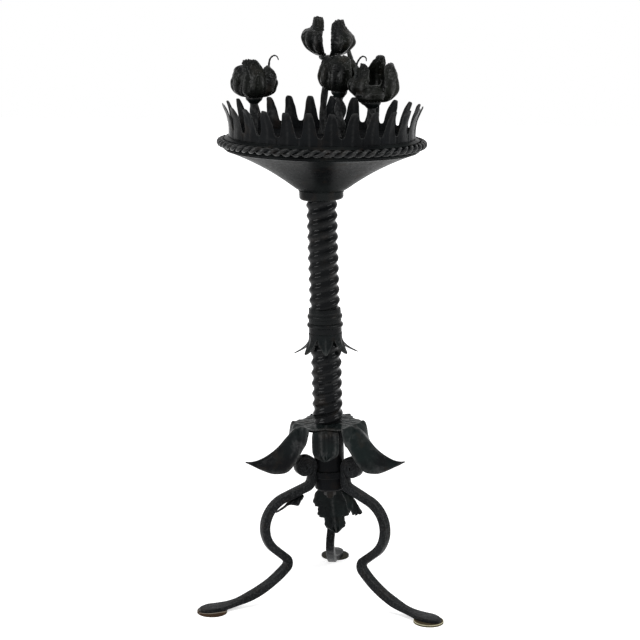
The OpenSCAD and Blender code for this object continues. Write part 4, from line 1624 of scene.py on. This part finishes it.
# ---------- Blooms ----------
CUP = ((0.03, 7, 6, 66), (-0.02, 10, 11, 66), (0.04, 14, 16, 66), (0.14, 17, 20, 66),
       (0.28, 18, 22, 66), (0.46, 18, 22, 66), (0.66, 16, 20, 66), (0.84, 13, 18, 66),
       (0.94, 12, 17, 65), (1.0, 13, 17, 62))
SHOULDER = ((0.03, 7, 6, 66), (-0.02, 10, 11, 66), (0.04, 14, 16, 66), (0.16, 17, 20, 66),
            (0.32, 18, 22, 68), (0.50, 18.5, 22, 70), (0.68, 18, 21, 70), (0.84, 16.5, 19, 68),
            (0.95, 13, 16, 62), (1.0, 10, 13, 56))
SLOPE = ((0.02, 7, 6, 66), (0.0, 9, 9, 64), (0.08, 13, 14, 62), (0.22, 17, 19, 62),
         (0.36, 19, 22, 62), (0.50, 18.5, 21.5, 62), (0.62, 16, 19, 60), (0.76, 13, 15, 58),
         (0.9, 10.5, 12, 54), (1.0, 10, 11, 48))
PEAK = ((0.02, 7, 6, 66), (0.0, 9, 9, 66), (0.08, 13, 14, 66), (0.22, 17, 19, 66),
        (0.38, 18.5, 22, 66), (0.54, 18, 22, 64), (0.64, 15, 20, 52), (0.72, 13, 18, 36),
        (0.86, 12, 17, 30), (1.0, 13, 16, 20))
MITTEN = ((0.02, 7, 6, 66), (0.0, 9, 9, 64), (0.08, 13, 14, 62), (0.22, 17, 19, 62),
          (0.38, 19.5, 22.5, 62), (0.54, 20, 22.5, 62), (0.64, 18.5, 20, 62),
          (0.69, 14.5, 16, 60), (0.74, 13, 14, 58), (0.86, 12.5, 13, 56), (1.0, 12, 12.5, 50))
GATE = ((0.03, 7, 6, 66), (-0.02, 10, 11, 66), (0.04, 14, 16, 66), (0.14, 17, 20, 66),
        (0.28, 18, 22, 66), (0.46, 18, 22, 62), (0.66, 16, 20, 54), (0.84, 13, 18, 45),
        (0.94, 12, 17, 42), (1.0, 13, 17, 40))


@dataclass(frozen=True)
class Petal:
    """One petal's heading, share of the bloom's height, outline, and how it is bent by hand."""

    heading: float
    height: float
    line: Stations = CUP
    lean: float = 0.0
    hook: float = 0.0
    inset: float = 0.0
    breadth: float = 1.0
    corner: float = 6.0


@dataclass
class Bloom:
    """A tulip-shaped bloom on its stem: beaten petals in a scalloped calyx."""

    name: str
    x: float
    y: float
    z: float
    spread: float
    height: float
    cup: float
    petals: tuple[Petal, ...]
    thick: float = 1.0
    foot: tuple[float, float] = (0.0, 0.0)
    bow: tuple[float, float] = (0.0, 0.0)
    ridges: tuple[int, float, float] = (4, 0.07, 6.0)
    seat: float = 96.0
    bloom_h: float = 62.0
    calyx_h: float = 13.0
    petal_t: float = 2.0
    stem_d: float = 12.0
    datum: float = 911.0
    stem_h: float = 57.0
    lip_flare: float = 9.0
    scallop: float = 0.10
    rib_count: float = 3.5
    rib: float = 1.9
    feather: float = 0.55
    tendril_root: float = 2.8
    tendril_tip: float = 0.9

    @property
    def base(self) -> float:
        """Height of the calyx above the pan's foot."""
        return self.seat + self.stem_h + self.z - self.datum

    @property
    def place(self) -> Matrix:
        """Matrix of the bloom, whose own z = 0 is the calyx's foot."""
        return STAND.pan @ Matrix.Translation((self.x, self.y, self.base))

    @property
    def lip(self) -> float:
        """Radius of the calyx's lip."""
        return self.stem_d / 2 + self.lip_flare * self.spread

    def stem(self) -> bpy.types.Object:
        """Builds the drawn stem with a spread foot, bent a little by hand.

        Returns:
            The piece.
        """
        rise = self.base - self.seat
        path, radii = [], []
        for k in spread(44, 0, 1):
            bend, foot = math.sin(math.pi * k), 1 - smooth(k)
            path.append(Vector((self.x + self.bow[0] * bend + self.foot[0] * foot,
                                self.y + self.bow[1] * bend + self.foot[1] * foot,
                                self.seat + rise * k)))
            flare = 1 + 0.5 * max(0.0, 1 - k * rise / 8)
            radii.append(self.stem_d / 2 * lerp(1.0, self.thick, smooth(k * 3)) * flare)
        count, depth, twist = self.ridges
        mesh = swept(path, radii, count, depth, twist, 24)
        return piece(f"drawn_stem_{self.name}", mesh, STAND.pan, Finish.BAR,
                     [f"stem_{self.name}"])

    def calyx(self) -> bpy.types.Object:
        """Builds the scalloped cup under the petals.

        Returns:
            The piece.
        """
        base, lip, h = self.stem_d / 2 * self.thick, self.lip, self.calyx_h
        profile = eased([[0.4, 0], [base, 0.2], [lerp(base, lip, 0.4), 3],
                         [lerp(base, lip, 0.85), 6.5], [lip, h - 3], [lip - 0.4, h - 0.4],
                         [lip - 2.0, h], [0.4, h - 1]], 40)
        bare = [0.8 * hump((z - h + 2) / 2, 1.0) if r > lip * 0.8 else 0.0 for r, z in profile]
        rows = []
        for j in range(96):
            a = math.tau * j / 96
            gap = 1 - abs(math.cos(4 * a))
            rows.append([polar(r * (1 - self.scallop * gap * clamp01(z / h)), a,
                               z - 1.6 * gap * clamp01((z - h * 0.6) / (h * 0.4)))
                         for r, z in profile])
        mesh = skin(rows, [bare] * 96, across=True, along=True)
        return piece(f"scalloped_calyx_{self.name}", mesh, self.place, Finish.LEAF,
                     [f"calyx_{self.name}"])

    def petal(self, shape: Petal) -> bpy.types.Mesh:
        """Builds one petal, heading along +X.

        Args:
            shape: the petal's own height, outline, lean, hook, inset, breadth and corners.

        Returns:
            The thickened sheet.
        """
        height = self.bloom_h * self.height * shape.height
        line = eased(shape.line, 42)
        rows, wear = [], []
        for share, middle, radius, half in line:
            row, bare = [], []
            late = smooth((share - 0.55) / 0.45)
            for v in spread(33):
                torn = 0.10 * noise.noise(Vector((share * 17, v, shape.heading))) * abs(v) ** 3
                a = math.radians(v * half * self.cup * shape.breadth * (1 + torn))
                lump = noise.noise(Vector((share * 5, v * 1.6, shape.heading)))
                ragged = 2.4 * noise.noise(Vector((v * 9, shape.heading, self.x))) * late
                ragged += 1.2 * lump * late
                drop = shape.corner * smooth((share - 0.8) / 0.2) * v ** 4 - ragged
                out = self.spread * (middle + (radius - shape.inset) * math.cos(a))
                out += shape.hook * smooth((share - 0.82) / 0.18)
                side = self.spread * radius * math.sin(a) * (1 + 0.05 * lump)
                row.append(Vector((out + 1.5 * lump, side + shape.lean * late,
                                   height * share - drop)))
                # Painted highlight: the ribs' tops at mid-belly are marked bare as if catching the
                # light; the edges and the tip are real wear.
                ribs = max(0.0, math.cos(math.pi * self.rib_count * v)) ** 3
                bare.append(max(0.6 * hump(abs(v) - 1, 0.08), 0.7 * hump(share - 1, 0.04),
                                0.9 * ribs * hump(share - 0.40, 0.2)))
            rows.append(row)
            wear.append(bare)

        def relief(u: float, v: float) -> float:
            """Works out the ribs, the creases near the tip and the hammer marks.

            Args:
                u: share of the way along the petal, 0 to 1.
                v: share of the way across it, -1 to 1.

            Returns:
                Their height.
            """
            share = line[round(u * (len(line) - 1))][0]
            wave = math.cos(math.pi * self.rib_count * (v + 0.06 * math.sin(share * 9)))
            ribs = self.rib * wave * smooth(share / 0.3) * (1 - smooth((share - 0.5) / 0.12))
            feather = self.feather * math.sin(math.tau * (share * 13 - abs(v) * 1.5))
            feather *= smooth((share - 0.5) / 0.15)
            crease = -0.9 * hump(v, 0.09) * smooth((share - 0.5) / 0.25)
            beat = 0.9 * noise.noise(Vector((share * 6 + shape.heading, v * 4, self.x)))
            beat += (1.5 * noise.noise(Vector((share * 15, v * 8, shape.heading)))
                     * smooth((share - 0.4) / 0.2))
            return -(ribs + feather * (1 - hump(v, 0.12)) * (1 - smooth((share - 0.9) / 0.1))
                     + crease + beat * smooth(share / 0.15))

        return thickened(skin(raised_along_normals(rows, relief), wear), self.petal_t)

    def flower(self) -> bpy.types.Object:
        """Builds the petals as one piece.

        Returns:
            The piece.
        """
        sheets = [placed(self.petal(p), turned(p.heading)) for p in self.petals]
        place = self.place @ raised(self.calyx_h + self.petal_t * 0.4)
        return piece(f"beaten_petals_{self.name}", joined(sheets), place, Finish.PETAL_WITH_PAINTED_HIGHLIGHT,
                     [f"petals_{self.name}"])

    def tendril(self, turns: Stations) -> bpy.types.Object:
        """Builds a tapered wire that springs from the calyx and curls over at its end.

        Args:
            turns: points of its path as [x, y, z] from the calyx's foot.

        Returns:
            The piece.
        """
        path = [Vector(p) for p in eased(turns, 60)]
        radii = [lerp(self.tendril_root, self.tendril_tip, k) for k in spread(60, 0, 1)]
        mesh = swept(path, radii, 2, 0.12, 40.0)
        return piece(f"wire_tendril_{self.name}", mesh, self.place, Finish.LEAF,
                     [f"tendril_{self.name}"])


BLOOMS = (
    Bloom("left", -120, -4, 911, 1.00, 1.04, 1.2,
          (Petal(270, 1.0, GATE, lean=-6.5, hook=3, corner=1.5),
           Petal(0, 0.80, SHOULDER, hook=1, inset=1.5), Petal(90, 0.92, GATE, lean=4),
           Petal(180, 0.81, SHOULDER, inset=1.5)), thick=1.2),
    Bloom("top", 9.5, 58, 980, 1.27, 1.07, 1.06,
          (Petal(45, 0.93, SLOPE, hook=2, breadth=1.1),
           Petal(135, 1.0, MITTEN, corner=3, breadth=0.88),
           Petal(225, 1.0, MITTEN, corner=3, breadth=0.88),
           Petal(315, 0.94, SLOPE, hook=3, breadth=1.12)), foot=(-8, 0), bow=(-3, 0)),
    Bloom("middle", 29, 8, 923, 0.92, 1.0, 1.2,
          (Petal(275, 0.97, SHOULDER), Petal(5, 1.10, SLOPE, lean=3, inset=1.5),
           Petal(95, 0.9), Petal(185, 0.93, SHOULDER, inset=1.5)),
          thick=1.35, bow=(3, 0), ridges=(2, 0.35, 7.0)),
    Bloom("right", 85, -42, 909, 1.11, 1.12, 1.14,
          (Petal(350, 0.93, SHOULDER, hook=5), Petal(78, 1.10, PEAK, lean=-8, breadth=1.14),
           Petal(218, 0.92, SLOPE, lean=-1, inset=2, breadth=1.1, corner=15),
           Petal(262, 0.40, CUP, hook=1, inset=-1.6, breadth=1.45, corner=-9)), thick=1.25))
TENDRILS = {0: ((10, 8, 8), (17, 14, 16), (24, 20, 32), (26, 22, 50), (25, 20, 66),
                (27, 16, 77), (33, 12, 83), (39, 8, 82), (42, 6, 76)),
            3: ((-12, -8, 8), (-22, -14, 16), (-28, -20, 34), (-29, -21, 56), (-28, -20, 74),
                (-24, -19, 84), (-18, -18, 90), (-12, -17, 88), (-11, -17, 82))}


# ---------- Stage ----------
@dataclass
class Studio:
    """Pale floor, plain soft lamps and the camera."""

    camera_at: Triple = (-7.50, -3253.74, 1187.0)
    pitch: float = 11.68
    roll: float = 0.85
    lens: float = 102.99
    sensor: float = 36.0
    floor_size: float = 9.0
    aim: Triple = (0.0, 0.0, 0.6)

    def camera(self) -> None:
        """Sets the camera at the photograph's angle."""
        p, r = math.radians(self.pitch), math.radians(self.roll)
        right, up = Vector((1, 0, 0)), Vector((0, math.sin(p), math.cos(p)))
        x = right * math.cos(r) + up * math.sin(r)
        y = up * math.cos(r) - right * math.sin(r)
        data = bpy.data.cameras.new("view")
        data.sensor_width = self.sensor
        data.lens = self.lens
        data.clip_end = 60.0
        made = shown("view", data)
        turn = Matrix((x, y, x.cross(y))).transposed().to_4x4()
        made.matrix_world = Matrix.Translation(Vector(self.camera_at) * MM) @ turn
        bpy.context.scene.camera = made

    def floor(self) -> None:
        """Lays the pale floor, which keeps the stand's soft shadow."""
        work = bmesh.new()
        bmesh.ops.create_grid(work, x_segments=1, y_segments=1, size=self.floor_size)
        mesh = bpy.data.meshes.new("studio_floor")
        work.to_mesh(mesh)
        work.free()
        paint = bpy.data.materials.new("studio_floor")
        wire = cleared(paint)
        rays = wire.put("ShaderNodeLightPath")
        pale = wire.put("ShaderNodeBsdfDiffuse", {"Color": (0.9, 0.9, 0.9, 1)})
        place = wire.put("ShaderNodeTexCoord").outputs["Object"]
        far = wire.put("ShaderNodeVectorMath", {0: place}, operation="LENGTH").outputs[1]
        strength = wire.between(far, 0.7, 2.6, 0.42, 1.0)
        glow = wire.put("ShaderNodeEmission", {"Color": (1, 1, 1, 1), "Strength": strength})
        both = wire.put("ShaderNodeAddShader", {0: pale.outputs[0], 1: glow.outputs[0]})
        seen = wire.calc("MAXIMUM", rays.outputs["Is Camera Ray"], rays.outputs["Is Glossy Ray"])
        mixed = wire.put("ShaderNodeMixShader", {0: seen, 1: pale.outputs[0], 2: both.outputs[0]})
        wire.put("ShaderNodeOutputMaterial", {"Surface": mixed.outputs[0]})
        mesh.materials.append(paint)
        shown("studio_floor", mesh)

    def world(self) -> None:
        """Lights the room: white where it is seen or mirrored, softer as light."""
        world = bpy.data.worlds.new("room")
        bpy.context.scene.world = world
        wire = cleared(world)
        rays = wire.put("ShaderNodeLightPath")
        seen = wire.calc("MAXIMUM", rays.outputs["Is Camera Ray"],
                         rays.outputs["Is Transmission Ray"])
        seen = wire.calc("MAXIMUM", seen, rays.outputs["Is Glossy Ray"])
        strength = wire.between(seen, 0.0, 1.0, 0.5, 1.0)
        glow = wire.put("ShaderNodeBackground", {"Color": (1, 1, 1, 1), "Strength": strength})
        wire.put("ShaderNodeOutputWorld", {"Surface": glow.outputs[0]})

    def lamp(self, name: str, at: Triple, size: tuple[float, float], power: float) -> None:
        """Hangs one soft rectangular lamp that faces the stand.

        Args:
            name: the lamp's name.
            at: its place in metres.
            size: its width and height.
            power: its power in watts.
        """
        data = bpy.data.lights.new(name, "AREA")
        data.shape = "RECTANGLE"
        data.size, data.size_y = size
        data.energy = power
        made = shown(name, data)
        way = (Vector(self.aim) - Vector(at)).to_track_quat("-Z", "Y")
        made.matrix_world = Matrix.Translation(at) @ way.to_matrix().to_4x4()

    def light(self) -> None:
        """Hangs the lamps."""
        self.lamp("left_box", (-2.3, -1.3, 1.3), (1.8, 0.85), 52)
        self.lamp("right_box", (2.3, -1.1, 1.5), (1.8, 0.85), 48)
        self.lamp("top_box", (0.2, -1.0, 3.0), (1.2, 0.9), 26)


def dress_fasteners() -> None:
    """Gives the CAD nodes that stay in view their finishes."""
    kept = {Finish.STEEL: ("tie_rod", "bottom_nut", "bottom_washer", "top_nut", "top_washer",
                           "stem_nuts"),
            Finish.DULL: ("pan_floor",)}
    for finish, names in kept.items():
        for name in names:
            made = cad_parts[name]
            made.data.materials.clear()
            made.data.materials.append(finish.material)
            LOG.info("%s: kept from the part in %s", name, finish.value.name)


def main() -> None:
    """Builds the stand from its feet up, then the stage."""
    for leg in (Leg("left", 0, Finish.PAD_BROWN, glue=0.8),
                Leg("right", 1, Finish.PAD_OCHRE, rim_wear=1.0),
                Leg("rear", 2, Finish.PAD_OLIVE)):
        leg.forge()
        leg.pad()
    hub = Hub()
    hub.boss()
    hub.band()
    hub.plate()
    canopy = Canopy()
    for index, side in enumerate(("left", "right", "rear")):
        canopy.sepal(index, side)
    canopy.bracts()
    acanthus = Acanthus()
    acanthus.side_leaf(0, "left", CURL_LEAF)
    acanthus.side_leaf(1, "right", DROOP_LEAF)
    acanthus.hanging()
    ring = ring_tree()
    column = Column(ring)
    twist = twisted_bar_tree()
    column.shaft(twist, "twisted_shaft_lower", "shaft_lower", column.low, column.lower_len)
    column.shaft(twist, "twisted_shaft_upper", "shaft_upper", column.upper_z, column.upper_len)
    column.ring_bead("turned_bead_lower", "ring_bead_lower", column.bead_z, 0.0)
    column.ring_bead("turned_bead_upper", "ring_bead_upper", column.bead_z + column.bead_h, 7.0)
    column.cuff()
    column.collar()
    pan = Pan(ring)
    pan.trumpet()
    pan.rim()
    pan.rope()
    pan.crown()
    for bloom in BLOOMS:
        bloom.stem()
        bloom.calyx()
        bloom.flower()
    for index, path in TENDRILS.items():
        BLOOMS[index].tendril(path)
    dress_fasteners()
    studio = Studio()
    studio.floor()
    studio.world()
    studio.light()
    studio.camera()
    bpy.context.scene.view_settings.view_transform = "Standard"


if __name__ == "__main__":
    logging.basicConfig(level=logging.INFO, format="%(name)s: %(message)s")
    main()
